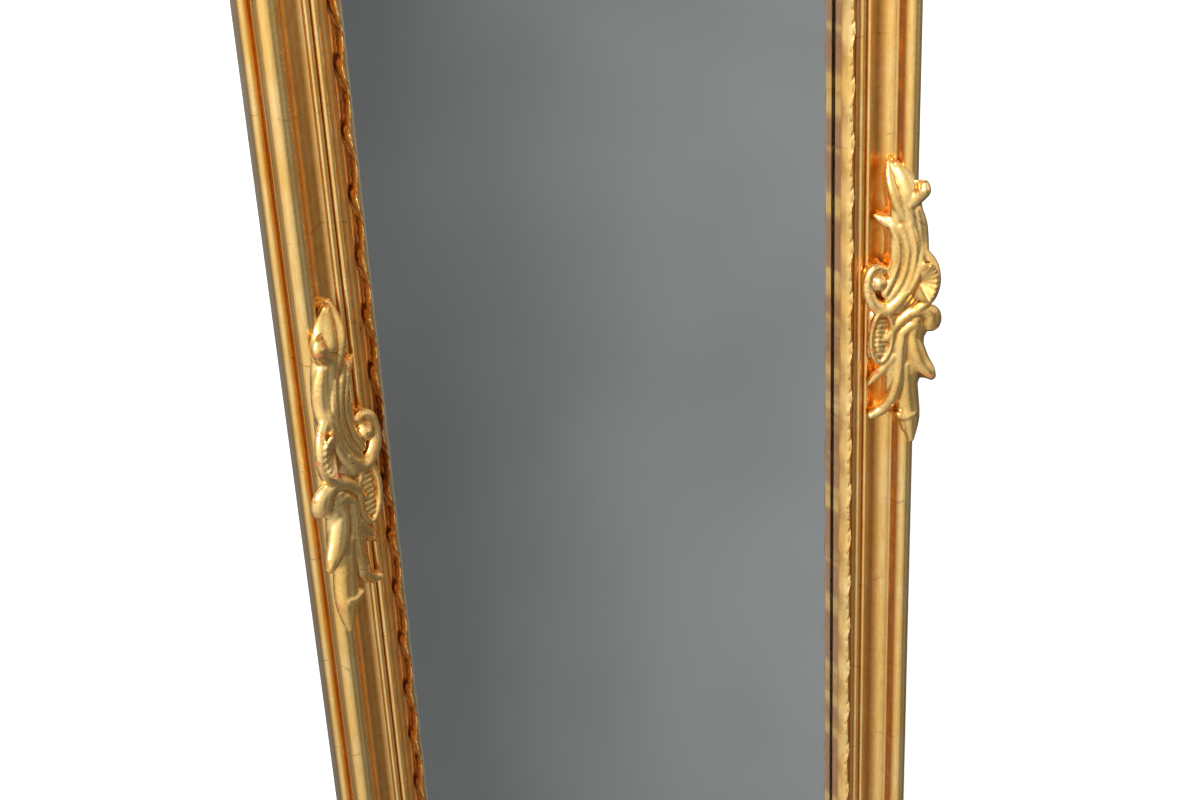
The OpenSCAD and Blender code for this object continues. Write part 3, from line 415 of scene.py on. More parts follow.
def gilt(name, dirt_and_shade_lines=(), tone_and_shade_lines=(), width=0.0, carved=False, worn=0.5):
    """Old gold leaf on red clay. Its toner and grime follow the section's lines, the carving's hollows, or both, and
    also darken the recesses as painted shade.
    """
    tints = bpy.context.scene.mirror_colours
    f = Finish(name)
    if dirt_and_shade_lines:
        plan = f.coordinates("UV")
        inward, along, _ = f.split(plan)
        across = f.math("DIVIDE", inward, width)
        streaked = f.coordinates("UV", scale=(1.6, 0.12, 1))
        hollow, toned_and_shaded = (f.stops(across, [(s * MM / width, level) for s, level in lines])
                         for lines in (dirt_and_shade_lines, tone_and_shade_lines))
    else:
        plan = f.coordinates()
        aside, _, up = f.split(plan)
        along = f.math("ADD", up, f.times(aside, 0.35))
        streaked = plan
        hollow, toned_and_shaded = 0.0, 0.0
    if carved:
        # The carving's hollows add grime, toner and painted crease shade.
        dip = f.attribute("hollow")
        hollow = f.math("MAXIMUM", hollow, dip)
        toned_and_shaded = f.math("MAXIMUM", toned_and_shaded, f.between(dip, 0.03, 0.5))
        proud = f.between(f.attribute("proud"), 0.15, 0.6)
    else:
        proud = f.between(f.noise(streaked, 90), 0.66, 0.74)
    cloud = f.noise(plan, 22, 4)
    speckle = f.noise(streaked, 1500, 3, 0.7)
    streak = f.noise(streaked, 420, 4, 0.6)
    smudge = f.noise(plan, 160, 5, 0.65)

    gold = f.blend(f.between(cloud, 0.35, 0.7), tints.gold, tints.pale_gold)
    gold = f.blend(f.times(f.between(streak, 0.4, 0.75), 0.35), gold, tints.deep_gold)
    # Deep gold in the recesses: partly toner, partly painted shade.
    toning_and_shade = f.math("MULTIPLY", toned_and_shaded, f.between(smudge, 0.2, 0.75, 0.75, 1.0), clamp=True)
    gold = f.blend(toning_and_shade, gold, tints.deep_gold)

    wander = f.times(f.noise(plan, 18, 2), 0.06)
    sheet = f.math("FRACT", f.math("DIVIDE", f.math("ADD", along, wander), SHEET))
    lap = f.times(f.between(f.math("ABSOLUTE", f.math("SUBTRACT", sheet, 0.5)), 0.0, 0.011, 1, 0),
                 f.between(smudge, 0.46, 0.6))
    gold = f.blend(f.times(lap, 0.6), gold, tints.bole)

    patch = f.noise(f.coordinates("UV", scale=(3.4, 0.16, 1)), 210, 4, 0.6) if dirt_and_shade_lines else smudge
    # Clay-red grime in the hollows, partly painted crease shade.
    dirt_and_shade = f.times(f.between(hollow, 0.25, 0.9), f.between(patch, 0.4, 0.56))
    gold = f.blend(f.times(dirt_and_shade, 0.85), gold, tints.bole)
    # The crack colour: the joint beside the slip, and painted shade in the deepest creases.
    gold = f.blend(f.times(f.between(hollow, 0.8, 1.0), f.between(speckle, 0.35, 0.6)), gold, tints.crack)

    rubbed = f.times(proud, f.between(smudge, 0.6 - 0.1 * worn, 0.68 - 0.08 * worn))
    gold = f.blend(f.times(rubbed, 0.9 * worn), gold, tints.bright_bole)
    pin = f.times(f.between(f.noise(plan, 520, 2, 0.5), 0.72, 0.78), 0.7)
    gold = f.blend(pin, gold, tints.bole)

    f.set(base_color=gold, metallic=f.between(f.math("MAXIMUM", rubbed, dirt_and_shade), 0.2, 0.9, 1.0, 0.25),
          coat_weight=0.55, coat_roughness=0.26,
          roughness=f.math("ADD", f.between(streak, 0.25, 0.8, 0.2, 0.33), f.times(f.math("ADD", toning_and_shade, dirt_and_shade), 0.1)))
    grain = f.bump(speckle, 0.00006, 0.55)
    dents = f.bump(smudge, 0.0005, 0.35, grain)
    f.link(dents, f.shader.inputs["Normal"])
    return f.material


def mirror_silver(name):
    tints = bpy.context.scene.mirror_colours
    f = Finish(name)
    plan = f.coordinates()
    dust = f.between(f.noise(plan, 260, 2, 0.5), 0.76, 0.8)
    f.set(base_color=f.blend(f.times(dust, 0.25), tints.glass, (1, 1, 1)), metallic=1.0,
          roughness=f.between(f.noise(plan, 6, 3), 0.3, 0.8, 0.0, 0.03))
    return f.material


def clear_glass(name):
    f = Finish(name)
    plan = f.coordinates()
    smear = f.between(f.noise(plan, 9, 3), 0.35, 0.8, 0.0, 0.012)
    f.set(base_color=(0.985, 1.0, 0.992), roughness=smear, transmission_weight=1.0, ior=1.52)
    return f.material


def softwood(name, axis, turn, shift):
    """Planed softwood whose grain runs along one axis (0 to 2), with its year rings turned."""
    tints = bpy.context.scene.mirror_colours
    f = Finish(name)
    plan = f.coordinates(turn=turn, shift=shift, scale=[0.12 if k == axis else 1 for k in range(3)])
    wander = f.noise(plan, 14, 3)
    rings = f.add("ShaderNodeTexWave", bands_direction="Y")
    f.link(plan, rings.inputs["Vector"])
    rings.inputs["Scale"].default_value = 30
    rings.inputs["Distortion"].default_value = 7
    rings.inputs["Detail"].default_value = 2.5
    rings.inputs["Detail Scale"].default_value = 1.4
    fine = f.coordinates(turn=turn, shift=shift, scale=[0.03 if k == axis else 1 for k in range(3)])
    fibre = f.noise(fine, 1400, 3, 0.6)
    wood = f.blend(f.between(rings.outputs["Fac"], 0.45, 0.95), tints.wood, tints.dark_wood)
    wood = f.blend(f.times(f.between(wander, 0.35, 0.7), 0.35), wood, tints.wood)
    wood = f.blend(f.times(f.between(fibre, 0.5, 0.75), 0.3), wood, tints.dark_wood)
    f.set(base_color=wood, roughness=f.between(fibre, 0.3, 0.7, 0.5, 0.68))
    f.link(f.bump(fibre, 0.0002, 0.5), f.shader.inputs["Normal"])
    return f.material


def hardboard(name):
    tints = bpy.context.scene.mirror_colours
    f = Finish(name)
    plan = f.coordinates()
    fleck = f.noise(plan, 900, 4, 0.7)
    cloud = f.noise(plan, 7, 4)
    board = f.blend(f.between(fleck, 0.4, 0.7), tints.board, [v * 0.55 for v in tints.board])
    pale = [min(1, v * 1.5) for v in tints.board]
    board = f.blend(f.times(f.between(cloud, 0.35, 0.7), 0.3), board, pale)
    f.set(base_color=board, roughness=f.between(fleck, 0.3, 0.7, 0.55, 0.75))
    f.link(f.bump(fleck, 0.0002, 0.4), f.shader.inputs["Normal"])
    return f.material


def plated(name, tint, rough, tarnish):
    f = Finish(name)
    plan = f.coordinates()
    stain = f.noise(plan, 130, 5, 0.65)
    scratch = f.noise(f.coordinates(scale=(1, 1, 0.1)), 1800, 3, 0.6)
    skin = f.blend(f.times(f.between(stain, 0.45, 0.75), tarnish), tint, [v * 0.45 for v in tint])
    f.set(base_color=skin, metallic=1.0,
          roughness=f.math("ADD", f.between(scratch, 0.3, 0.7, rough - 0.06, rough + 0.08),
                           f.times(f.between(stain, 0.45, 0.75), 0.12)))
    f.link(f.bump(scratch, 0.00004, 0.5), f.shader.inputs["Normal"])
    return f.material


def black_rubber(name):
    tints = bpy.context.scene.mirror_colours
    f = Finish(name)
    fleck = f.noise(f.coordinates(), 1200, 3, 0.6)
    f.set(base_color=f.blend(f.between(fleck, 0.35, 0.75), tints.rubber, [v * 2.2 for v in tints.rubber]),
          roughness=f.between(fleck, 0.3, 0.7, 0.6, 0.8))
    f.link(f.bump(fleck, 0.0001, 0.4), f.shader.inputs["Normal"])
    return f.material


def refinish(material, *nodes):
    """Gives carried-over nodes a finish."""
    for name in nodes:
        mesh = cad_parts[name].data
        mesh.materials.clear()
        mesh.materials.append(material)


# ---- Pieces ----

def moulding_outline():
    """The moulding's section as (inward, forward) points, from its back outer corner round to it again."""
    z = bpy.context.scene.mirror_frame
    wall_line = z.torus_line - z.torus + z.bead_lap / 2
    bead_end = math.degrees(math.acos((wall_line - z.edge_bead) / z.edge_bead))
    torus_start = 180 + math.degrees(math.asin(
        math.sqrt(z.torus ** 2 - (z.torus_line - wall_line) ** 2) / z.torus))
    torus_end = math.degrees(math.asin((z.shelf - z.torus_mid) / z.torus))
    cove_start = 180 + math.degrees(math.asin((z.cove_mid - z.shelf + 0.3 * MM) / z.cove))
    cove_end = 360 - math.degrees(math.acos((z.cove_end - z.cove_line) / z.cove))
    ridge_start = 180 - math.degrees(math.asin((z.ground - z.ridge_mid) / z.ridge))
    ridge_end = math.degrees(math.asin((z.ground - z.ridge_mid) / z.ridge))
    bead_start = 180 - math.degrees(math.asin((z.ground - z.bead_mid) / z.bead))
    inner_end = math.degrees(math.asin((z.fillet_top - z.bead_mid) / z.bead))
    second = z.fillet_line + z.fillet
    low = z.fillet_top - z.fillet_drop
    return (
        [(z.wall_bevel, 0), (z.wall_bevel * 0.75, z.wall * 0.25), (z.wall_bevel * 0.25, z.wall * 0.75)]
        + arc(z.edge_bead, z.wall, z.edge_bead, 180, bead_end, 14)
        + arc(z.torus_line, z.torus_mid, z.torus, torus_start, torus_end, 30)
        + [(z.cove_start - EASE, z.shelf), (z.cove_start - EASE / 3, z.shelf - EASE / 3)]
        + arc(z.cove_line, z.cove_mid, z.cove, cove_start, cove_end, 14)
        + arc(z.ridge_line, z.ridge_mid, z.ridge, ridge_start, ridge_end, 12)
        + arc(z.bead_line, z.bead_mid, z.bead, bead_start, inner_end, 12)
        + [(second - EASE, z.fillet_top), (second - EASE / 3, z.fillet_top - EASE / 3), (second, z.fillet_top - EASE),
           (second, low), (z.moulding_width - EASE, low), (z.moulding_width, low - EASE),
           (z.moulding_width, z.rebate), (z.rebate_line, z.rebate), (z.rebate_line, 0)]
    )


class GiltMouldings(bpy.types.Operator):
    """Runs the gilt moulding round the frame in four mitred lengths"""
    bl_idname = "mirror.gilt_mouldings"
    bl_label = "Gilt Mouldings"

    def execute(self, context):
        z = context.scene.mirror_frame
        outline = moulding_outline()
        gold = gilt("gilt_moulding", MOULDING_DIRT_AND_SHADE, MOULDING_TONE_AND_SHADE, z.moulding_width)
        for number, (side, node) in enumerate(SIDES.items()):
            reach = side_length(side)
            rows = round(reach / z.step)

            def place(i, j):
                inward, out = outline[i]
                along = inward + (reach - 2 * inward) * j / rows
                sway = noise.noise(Vector((inward * 60, along * 9, number * 7.3))) if out > z.rebate else 0
                ends = min(1, along / (80 * MM), (reach - along) / (80 * MM))
                return Vector((inward, out + z.waviness * sway * ends * ends, along))

            bm = swept(len(outline), rows, place)
            lay_section(bm, number)
            finish_mesh(bm, "gilt_" + node, leaned() @ on_side(side), "mirror_frame", gold,
                        [node], sharp=32)
        return {"FINISHED"}


def leaf_hollow(turn, across, crest):
    """How deep the running leaf is carved (0 to a little over 1), by its place along one pitch and across."""
    if across < crest:
        height = math.sin(math.pi / 2 * (across / crest) ** 0.75)
        bundle = abs(math.sin(2 * math.pi * turn + 1.3 * height)) ** 0.7
        blade = abs(math.sin(6 * math.pi * turn - 2.4 * height)) ** 0.8
        return 0.8 * (1 - bundle) + 0.35 * (1 - blade)
    past = across - crest
    tip = abs(math.sin(4 * math.pi * turn + 5 * past)) ** 0.7
    hollow = (0.2 + 0.7 * (1 - tip)) * math.exp(-(past / 0.17) ** 2)
    vein = math.sin(2 * math.pi * (7 * turn + 2.5 * across))
    return hollow + 0.09 * vein * math.exp(-((past - 0.1) / 0.22) ** 2)


class LeafSlips(bpy.types.Operator):
    """Runs the slip with its pressed leaf pattern round the glass in four mitred lengths"""
    bl_idname = "mirror.leaf_slips"
    bl_label = "Leaf Slips"

    def execute(self, context):
        z = context.scene.mirror_slip
        gold = gilt("gilt_slip", SLIP_DIRT_AND_SHADE, SLIP_TONE_AND_SHADE, z.start + z.width, carved=True, worn=0.1)
        shares = (0, 0.015, 0.04, 0.08, 0.13, 0.18, 0.23, 0.28, 0.34, 0.4, 0.47, 0.54, 0.62, 0.7, 0.79, 0.88, 0.95,
                  0.985, 1)
        front = len(shares) - 1
        inner = z.start + z.width
        back = [(inner, z.lip - 1.5 * MM), (inner, z.tongue), (z.tongue_line, z.tongue),
                (z.tongue_line, z.foot), (z.start, z.foot)]
        for number, side in enumerate(SIDES):
            reach = side_length(side)
            rows = round((reach - 2 * inner) / z.pitch * z.rows)

            def place(i, j):
                if i > front:
                    inward, out = back[i - front - 1]
                    return Vector((inward, out, inward + (reach - 2 * inward) * j / rows))
                share = shares[i]
                inward = z.start + z.width * share
                along = inward + (reach - 2 * inward) * j / rows
                turn = along / z.pitch + 0.06 * noise.noise(Vector((along * 30, number * 3.1, 0)))
                crest = 0.34 + 0.1 * math.sin(2 * math.pi * turn)
                if share < crest:
                    out = z.foot + (z.top - z.foot) * math.sin(math.pi / 2 * (share / crest) ** 0.75)
                else:
                    out = z.lip + (z.top - z.lip) * (1 - ((share - crest) / (1 - crest)) ** 1.15)
                steep = max(0, 1 - (share / crest) ** 2)
                carved = z.relief * leaf_hollow(turn + number * 0.37, share, crest)
                out -= carved * (1 - steep)
                inward += carved * steep * 0.5
                swing = z.scallop * (0.5 + 0.5 * math.sin(2 * math.pi * turn)) * max(0, 1 - share * 2)
                return Vector((min(inward + swing, inner), out, along))

            bm = swept(front + 1 + len(back), rows, place)
            lay_section(bm, number)
            piece = finish_mesh(bm, f"gilt_{side}_leaf_slip", leaned() @ on_side(side), "mirror_frame",
                                gold, [f"{side}_leaf_slip"], sharp=70)
            mark_hollows(piece.data, (4, 0.0011))
        return {"FINISHED"}


# Each strand of an ornament is a list of (inward, along, forward, width) in mm.
SIDE_STRANDS = [
    [(31, 116, 31, 4), (33, 106, 36, 8), (33, 95, 41, 10), (29, 82, 44, 11), (23, 72, 46, 11)],
    [(27, 112, 37, 8), (23, 103, 43, 16), (20, 92, 47, 19), (20, 82, 47, 17), (22, 74, 46, 12)],
    [(21, 82, 48, 11), (16, 88, 52, 12), (13, 93, 55, 11), (13, 97, 54, 9)],
    [(43, 74, 31, 4), (39, 71, 36, 9), (33, 68, 41, 12), (25, 64, 46, 12)],
    [(34, 66, 41, 7), (30, 52, 44, 7.5), (29, 39, 44, 7.5), (33, 25, 43, 7.5), (39, 12, 41, 8)],
    [(28, 65, 45, 7), (24, 50, 48, 7.5), (24, 36, 48, 7.5), (28, 20, 46, 7.5), (36, 7, 42, 7)],
    [(22, 67, 48, 7), (19, 52, 51, 7.5), (19, 37, 51, 7.5), (23, 19, 49, 7.5), (33, 3, 44, 7)],
    [(16, 78, 49, 9), (13, 66, 50, 13), (12, 52, 51, 14), (13, 40, 53, 11), (18, 22, 52, 8), (30, -2, 45, 8)],
    [(24, 11, 49, 10), (31, 2, 46, 12), (38, -2, 43, 12), (45, 1, 40, 12), (50, 9, 38, 11), (51.5, 20, 36, 10),
     (49.5, 29, 36, 9), (44, 33, 37, 9), (39, 30, 38, 9)],
    [(43.5, 20, 41, 12), (43.5, 22, 41, 12)],
    [(43, 12, 33, 20), (43, 24, 33, 20)],
    [(10, 41, 54, 8), (6, 34, 57, 8.5), (4, 25, 59, 8.5), (4, 15, 59, 8.5), (7, 5, 57, 8.5), (15, -3, 53, 8)],
    [(36, -26, 41, 7), (29, -15, 45, 9), (20, -7, 50, 10), (11, -5, 54, 11), (4, -9, 56, 14), (2, -14, 56, 16),
     (1.5, -18, 55.5, 16)],
    [(31, -36, 42, 7), (25, -24, 46, 9), (18, -17, 50, 10), (11, -19, 51, 10), (8, -26, 49, 8)],
    [(24, -22, 46, 11), (25, -36, 46, 12), (25, -52, 45, 13), (27, -68, 44, 12), (31, -82, 41, 12),
     (37, -91, 36, 11), (45, -94, 33, 7)],
    [(17, -26, 49, 10), (14, -38, 51, 15), (10, -50, 53, 15), (5, -58, 55, 12), (2, -63, 55, 8)],
    [(20, -50, 47, 11), (17, -68, 46, 17), (15, -86, 46, 18), (14, -100, 47, 16), (14, -112, 46, 11),
     (14, -119, 45, 6)],
    [(47, -66, 31, 4), (42, -60, 35, 9), (36, -52, 39, 10), (30, -42, 43, 9)],
    [(15, -96, 47.5, 8), (20, -97, 46.5, 8), (25, -95, 44, 7)],
    [(27, 108, 37, 12), (27, 90, 41, 15), (27, 66, 43, 17), (27, 40, 44, 18), (30, 16, 42, 16), (34, 2, 39.5, 12)],
    [(20, 88, 47, 18), (17, 68, 48.5, 20), (16, 48, 50, 20), (15, 26, 49.5, 18), (19, 8, 48, 16), (26, -4, 45, 12)],
    [(29, -8, 43, 14), (28, -30, 42.5, 16), (28, -56, 41.5, 16), (29, -76, 38, 12)],
    [(13, -12, 51, 16), (14, -34, 49, 18), (13, -52, 49, 18), (16, -72, 45, 18), (16, -92, 44.5, 18),
     (15, -108, 44, 14)],
]
# Middles (inward, along) and sizes in mm of the fan and of the beaded oval.
FAN_MIDDLE = (15, 20)
FAN_REACH = 9
OVAL_MIDDLE = (41.5, -24)
OVAL_WIDTH = 8.5
OVAL_HEIGHT = 22
CORNER_STRANDS = [
    [(1, 1, 52, 6), (10, 10, 60, 12), (24, 24, 64, 15), (40, 40, 58, 16), (54, 54, 44, 9), (62, 62, 33, 4)],
    [(22, 26, 58, 10), (15, 60, 62, 12), (12, 95, 62, 11), (18, 128, 55, 9), (30, 146, 45, 4)],
    [(30, 34, 56, 9), (37, 62, 54, 11), (33, 95, 54, 10), (26, 120, 53, 8), (24, 140, 49, 4)],
    [(34, 68, 52, 8), (45, 86, 50, 8), (56, 76, 48, 8), (54, 60, 48, 8), (45, 58, 49, 7), (43, 67, 50, 6)],
    [(33, 100, 51, 8), (43, 112, 44, 9), (50, 126, 34, 4)],
    [(15, 68, 61, 9), (7, 84, 64, 9), (3, 99, 59, 4)],
    [(26, 30, 60, 10), (36, 48, 54, 12), (44, 62, 42, 4)],
    [(20, 62, 64, 8), (26, 78, 60, 8), (24, 96, 60, 8), (20, 114, 58, 7)],
    [(50, 73, 53, 9), (50, 75, 53, 9)],
]


def fan_and_oval():
    """The ribs of the fan and the ring and bars of the oval, as strands."""
    (fan_in, fan_up), (oval_in, oval_up) = FAN_MIDDLE, OVAL_MIDDLE
    ribs = []
    for degrees in range(112, 249, 17):
        a = math.radians(degrees)
        ribs.append([(fan_in + 2 * math.cos(a), fan_up + 4 * math.sin(a), 53, 3),
                     (fan_in + FAN_REACH * math.cos(a), fan_up + 1.7 * FAN_REACH * math.sin(a), 60, 4)])
    ring = []
    for degrees in range(0, 361, 20):
        a = math.radians(degrees)
        ring.append((oval_in + OVAL_WIDTH * math.cos(a), oval_up + OVAL_HEIGHT * math.sin(a),
                     40 - 2.5 * math.cos(a) + 1.5 * math.sin(a), 5))
    bars = [[(oval_in - 3, oval_up + up, 38, 5.2), (oval_in + 2, oval_up + up + 0.5, 37, 5)]
            for up in range(-16, 17, 4)]
    floor = [[(oval_in, oval_up - 16, 32, 14), (oval_in, oval_up + 16, 33, 14)]]
    return ribs + [ring] + bars + floor


def moulding_face(inward):
    """Depth of the moulding's face at a distance from the outer edge, both in mm."""
    if inward < 6:
        return 22
    if inward < 21.6:
        return 33.3 + math.sqrt(max(0, 65.6 - (inward - 13.7) ** 2))
    if inward < 24:
        return 30
    return 22 if inward < 58 else 19


def strand_path(points):
    """A smooth path through a strand's points, with its ends rounded off."""
    padded = [points[0]] + list(points) + [points[-1]]
    path = []
    for k in range(len(points) - 1):
        p0, p1, p2, p3 = (Vector(p) for p in padded[k:k + 4])
        steps = max(2, round((p2 - p1).length / 2.5))
        for step in range(steps):
            t = step / steps
            path.append(0.5 * (2 * p1 + (p2 - p0) * t + (2 * p0 - 5 * p1 + 4 * p2 - p3) * t ** 2
                               + (3 * p1 - p0 - 3 * p2 + p3) * t ** 3))
    path.append(Vector(points[-1]))
    closed = (path[0] - path[-1]).length < 0.1
    if not closed:
        for end, other in ((0, 1), (-1, -2)):
            tip, inner = path[end], path[other]
            away = Vector((tip[0] - inner[0], tip[1] - inner[1])).normalized() * tip[3] / 2
            for degrees in (35, 60, 82):
                a = math.radians(degrees)
                new = Vector((tip[0] + away.x * math.sin(a), tip[1] + away.y * math.sin(a),
                              tip[2] - tip[3] / 2 * (1 - math.cos(a)), tip[3] * math.cos(a)))
                path.insert(0 if end == 0 else len(path), new)
    return path


def add_strand(bm, points, ground, spine):
    """Adds one rounded strand of relief on a narrower web that leans in towards the spine and down to the ground."""
    path = strand_path(points)
    crown = 12

    def place(i, j):
        here = path[j]
        before, after = path[max(0, j - 1)], path[min(len(path) - 1, j + 1)]
        run = Vector((after[0] - before[0], after[1] - before[1])).normalized()
        half = here[3] / 2
        thick = min(half, 2.5 + half * 0.35)
        if i <= crown:
            a = math.pi * (i / crown - 0.5)
            across, out, lean = half * math.sin(a), here[2] - thick * (1 - math.cos(a)), 0
        else:
            level = min(i - crown, crown + 7 - i)
            side = 1 if i <= crown + 3 else -1
            under = here[2] - thick * 1.7
            across = side * half * (0.78, 0.6, 0.66)[level - 1]
            lean = (0.06, 0.3, 0.5)[level - 1]
            out = (under, under * 0.6 + 0.4 * ground(here[0], here[1]), None)[level - 1]
        inward = here[0] - run.y * across
        along = here[1] + run.x * across
        inward += lean * (spine(along) - inward)
        if out is None:
            out = min(here[2] - thick, ground(inward, along)) - 1
        return Vector((inward, along, out))

    part = swept(crown + 7, len(path) - 1, place)
    close_up(part, 1e-5)
    loose = bpy.data.meshes.new("strand")
    part.to_mesh(loose)
    part.free()
    bm.from_mesh(loose)
    bpy.data.meshes.remove(loose)


def cast_ornament(name, node, strands, ground, spine, to_frame, voxel, material):
    """Joins the strands into one pressed ornament with softened creases."""
    bm = bmesh.new()
    for strand in strands:
        add_strand(bm, strand, ground, spine)
    turn = Matrix(((1, 0, 0, 0), (0, 0, 1, 0), (0, 1, 0, 0), (0, 0, 0, 1)))
    scale = Matrix.Scale(MM, 4)
    bmesh.ops.transform(bm, matrix=leaned() @ to_frame @ turn @ scale, verts=bm.verts)
    bmesh.ops.recalc_face_normals(bm, faces=bm.faces)
    mesh = bpy.data.meshes.new(name)
    bm.to_mesh(mesh)
    bm.free()
    piece = bpy.data.objects.new(name, mesh)
    bpy.context.scene.collection.objects.link(piece)
    join = piece.modifiers.new("Join", "REMESH")
    join.mode = "VOXEL"
    join.voxel_size = voxel
    soften = piece.modifiers.new("Soften", "SMOOTH")
    soften.factor = 0.5
    soften.iterations = 5
    cast = bpy.data.meshes.new_from_object(piece.evaluated_get(bpy.context.evaluated_depsgraph_get()))
    piece.modifiers.clear()
    piece.data = cast
    bpy.data.meshes.remove(mesh)
    cast.name = name
    cast.shade_smooth()
    cast.materials.clear()
    cast.materials.append(material)
    mark_hollows(cast, (10, 0.0005), (60, 0.0016))
    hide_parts(node)
    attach(piece, "mirror_frame")


class SideOrnaments(bpy.types.Operator):
    """Models the two pressed scroll ornaments on the stiles"""
    bl_idname = "mirror.side_ornaments"
    bl_label = "Side Ornaments"

    def execute(self, context):
        z = context.scene.mirror_ornament
        gold = gilt("gilt_ornament", carved=True, worn=0.8)
        strands = SIDE_STRANDS + fan_and_oval()
        for side, hand in (("left", 1), ("right", -1)):
            to_frame = on_side(side) @ Matrix.Translation((hand * z.nudge, 0, z.middle))
            cast_ornament(f"gilt_{side}_ornament", f"{side}_side_ornament", strands,
                          lambda inward, along: moulding_face(inward), lambda along: SPINE, to_frame, z.voxel, gold)
        return {"FINISHED"}


class CornerOrnaments(bpy.types.Operator):
    """Models the four pressed leaf ornaments over the mitres"""
    bl_idname = "mirror.corner_ornaments"
    bl_label = "Corner Ornaments"

    def execute(self, context):
        z = context.scene.mirror_ornament
        size = context.scene.mirror_frame
        # Finds the frame's own plain finish of this name, so the corners lack the gilding of the side ornaments.
        gold = bpy.data.materials.get("gilt_ornament") or gilt("gilt_ornament", carved=True, worn=0.8)
        arms = CORNER_STRANDS + [[(along, inward, out, width) for inward, along, out, width in strand]
                                 for strand in CORNER_STRANDS[1:]]
        for end in ("top", "bottom"):
            for side in ("left", "right"):
                flip = Matrix.Identity(4) if end == "bottom" else \
                    Matrix.Translation((0, 0, size.height)) @ Matrix.Scale(-1, 4, (0, 0, 1))
                cast_ornament(f"gilt_{end}_{side}_ornament", f"{end}_{side}_ornament", arms,
                              lambda inward, along: moulding_face(min(inward, along)),
                              lambda along: min(SPINE, along),
                              on_side(side) @ flip, z.voxel * 1.2, gold)
        return {"FINISHED"}


class MirrorGlass(bpy.types.Operator):
    """Silvers the back of the glass plate"""
    bl_idname = "mirror.glass"
    bl_label = "Mirror Glass"

    def execute(self, context):
        refinish(clear_glass("clear_glass"), "mirror_glass")
        size = context.scene.mirror_frame
        margin = 2 * (size.rebate_line + GLASS_PLAY)
        bm = bmesh.new()
        bmesh.ops.create_cube(bm, size=1)
        bmesh.ops.scale(bm, vec=(size.width - margin, SILVER, size.height - margin), verts=bm.verts)
        bmesh.ops.translate(bm, vec=(0, -SILVER_MIDDLE, size.height / 2), verts=bm.verts)
        finish_mesh(bm, "silvering", leaned(), "mirror_frame", mirror_silver("mirror_silver"))
        return {"FINISHED"}


class BackAndLeg(bpy.types.Operator):
    """Finishes the bare wood and the back board"""
    bl_idname = "mirror.back_and_leg"
    bl_label = "Back and Leg"

    def execute(self, context):
        lean = context.scene.mirror_frame.lean
        upright = softwood("upright_wood", 2, (0.2, 0, 0), (0.3, 0.02, 0))
        rails = softwood("rail_wood", 0, (0, 0, 0), (0, 0.13, 0.4))
        battens = softwood("batten_wood", 0, (lean, 0, 0), (0, 0.31, 0.7))
        refinish(upright, "left_leg_upright", "right_leg_upright")
        refinish(rails, "leg_top_rail", "leg_middle_rail", "leg_bottom_rail")
        refinish(battens, "hinge_batten", "stay_batten")
        refinish(hardboard("back_board"), "back_panel")
        return {"FINISHED"}


class Fittings(bpy.types.Operator):
    """Finishes the metal and rubber fittings"""
    bl_idname = "mirror.fittings"
    bl_label = "Fittings"

    def execute(self, context):
        tints = context.scene.mirror_colours
        steel = plated("zinc_steel", tints.steel, 0.3, 0.5)
        brass = plated("dull_brass", tints.brass, 0.32, 0.7)
        rubber = black_rubber("black_rubber")
        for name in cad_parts:
            if "foot" in name or "setting" in name:
                refinish(rubber, name)
            elif any(word in name for word in ("hinge_frame_leaf", "hinge_leg_leaf", "hinge_pin", "hanger_strap",
                                               "hanger_ring")):
                refinish(brass, name)
            elif any(word in name for word in ("screw", "clip", "brace", "stay_arm", "stay_stud", "stay_bracket",
                                               "stay_rivet", "slot_plate")):
                refinish(steel, name)
        return {"FINISHED"}


def soft_sun(name, strength, spread, towards):
    """A broad light of even strength, shining from the direction given."""
    light = bpy.data.lights.new(name, "SUN")
    light.energy = strength
    light.angle = math.radians(spread)
    lamp = bpy.data.objects.new(name, light)
    lamp.rotation_euler = Vector(towards).to_track_quat("Z", "Y").to_euler()
    bpy.context.scene.collection.objects.link(lamp)


class Studio(bpy.types.Operator):
    """Sets the floor, the lights and the camera"""
    bl_idname = "mirror.studio"
    bl_label = "Studio"

    def execute(self, context):
        scene = context.scene
        z = scene.mirror_studio
        bm = bmesh.new()
        bmesh.ops.create_circle(bm, cap_ends=True, segments=96, radius=14)
        mesh = bpy.data.meshes.new("floor")
        bm.to_mesh(mesh)
        bm.free()
        floor = bpy.data.objects.new("floor", mesh)
        scene.collection.objects.link(floor)
        mesh.materials.append(floor_finish())

        turn = leaned()
        soft_sun("key_light", z.key, 26, (-0.75, -0.6, 0.62))
        soft_sun("fill_light", z.fill, 60, (0.8, -0.5, 0.4))
        soft_sun("back_light", z.back, 50, (0.15, 0.8, 0.6))
        studio_world(scene)

        lens = bpy.data.cameras.new("camera")
        lens.lens = z.lens
        lens.sensor_width = 36
        lens.clip_end = 100
        camera = bpy.data.objects.new("camera", lens)
        camera.location = turn @ Vector((z.camera_across, -z.camera_out, z.camera_up))
        camera.rotation_euler = (turn.to_3x3() @ Vector(z.aim)).to_track_quat("-Z", "Y").to_euler()
        scene.collection.objects.link(camera)
        scene.camera = camera
        scene.view_settings.view_transform = "Standard"
        return {"FINISHED"}


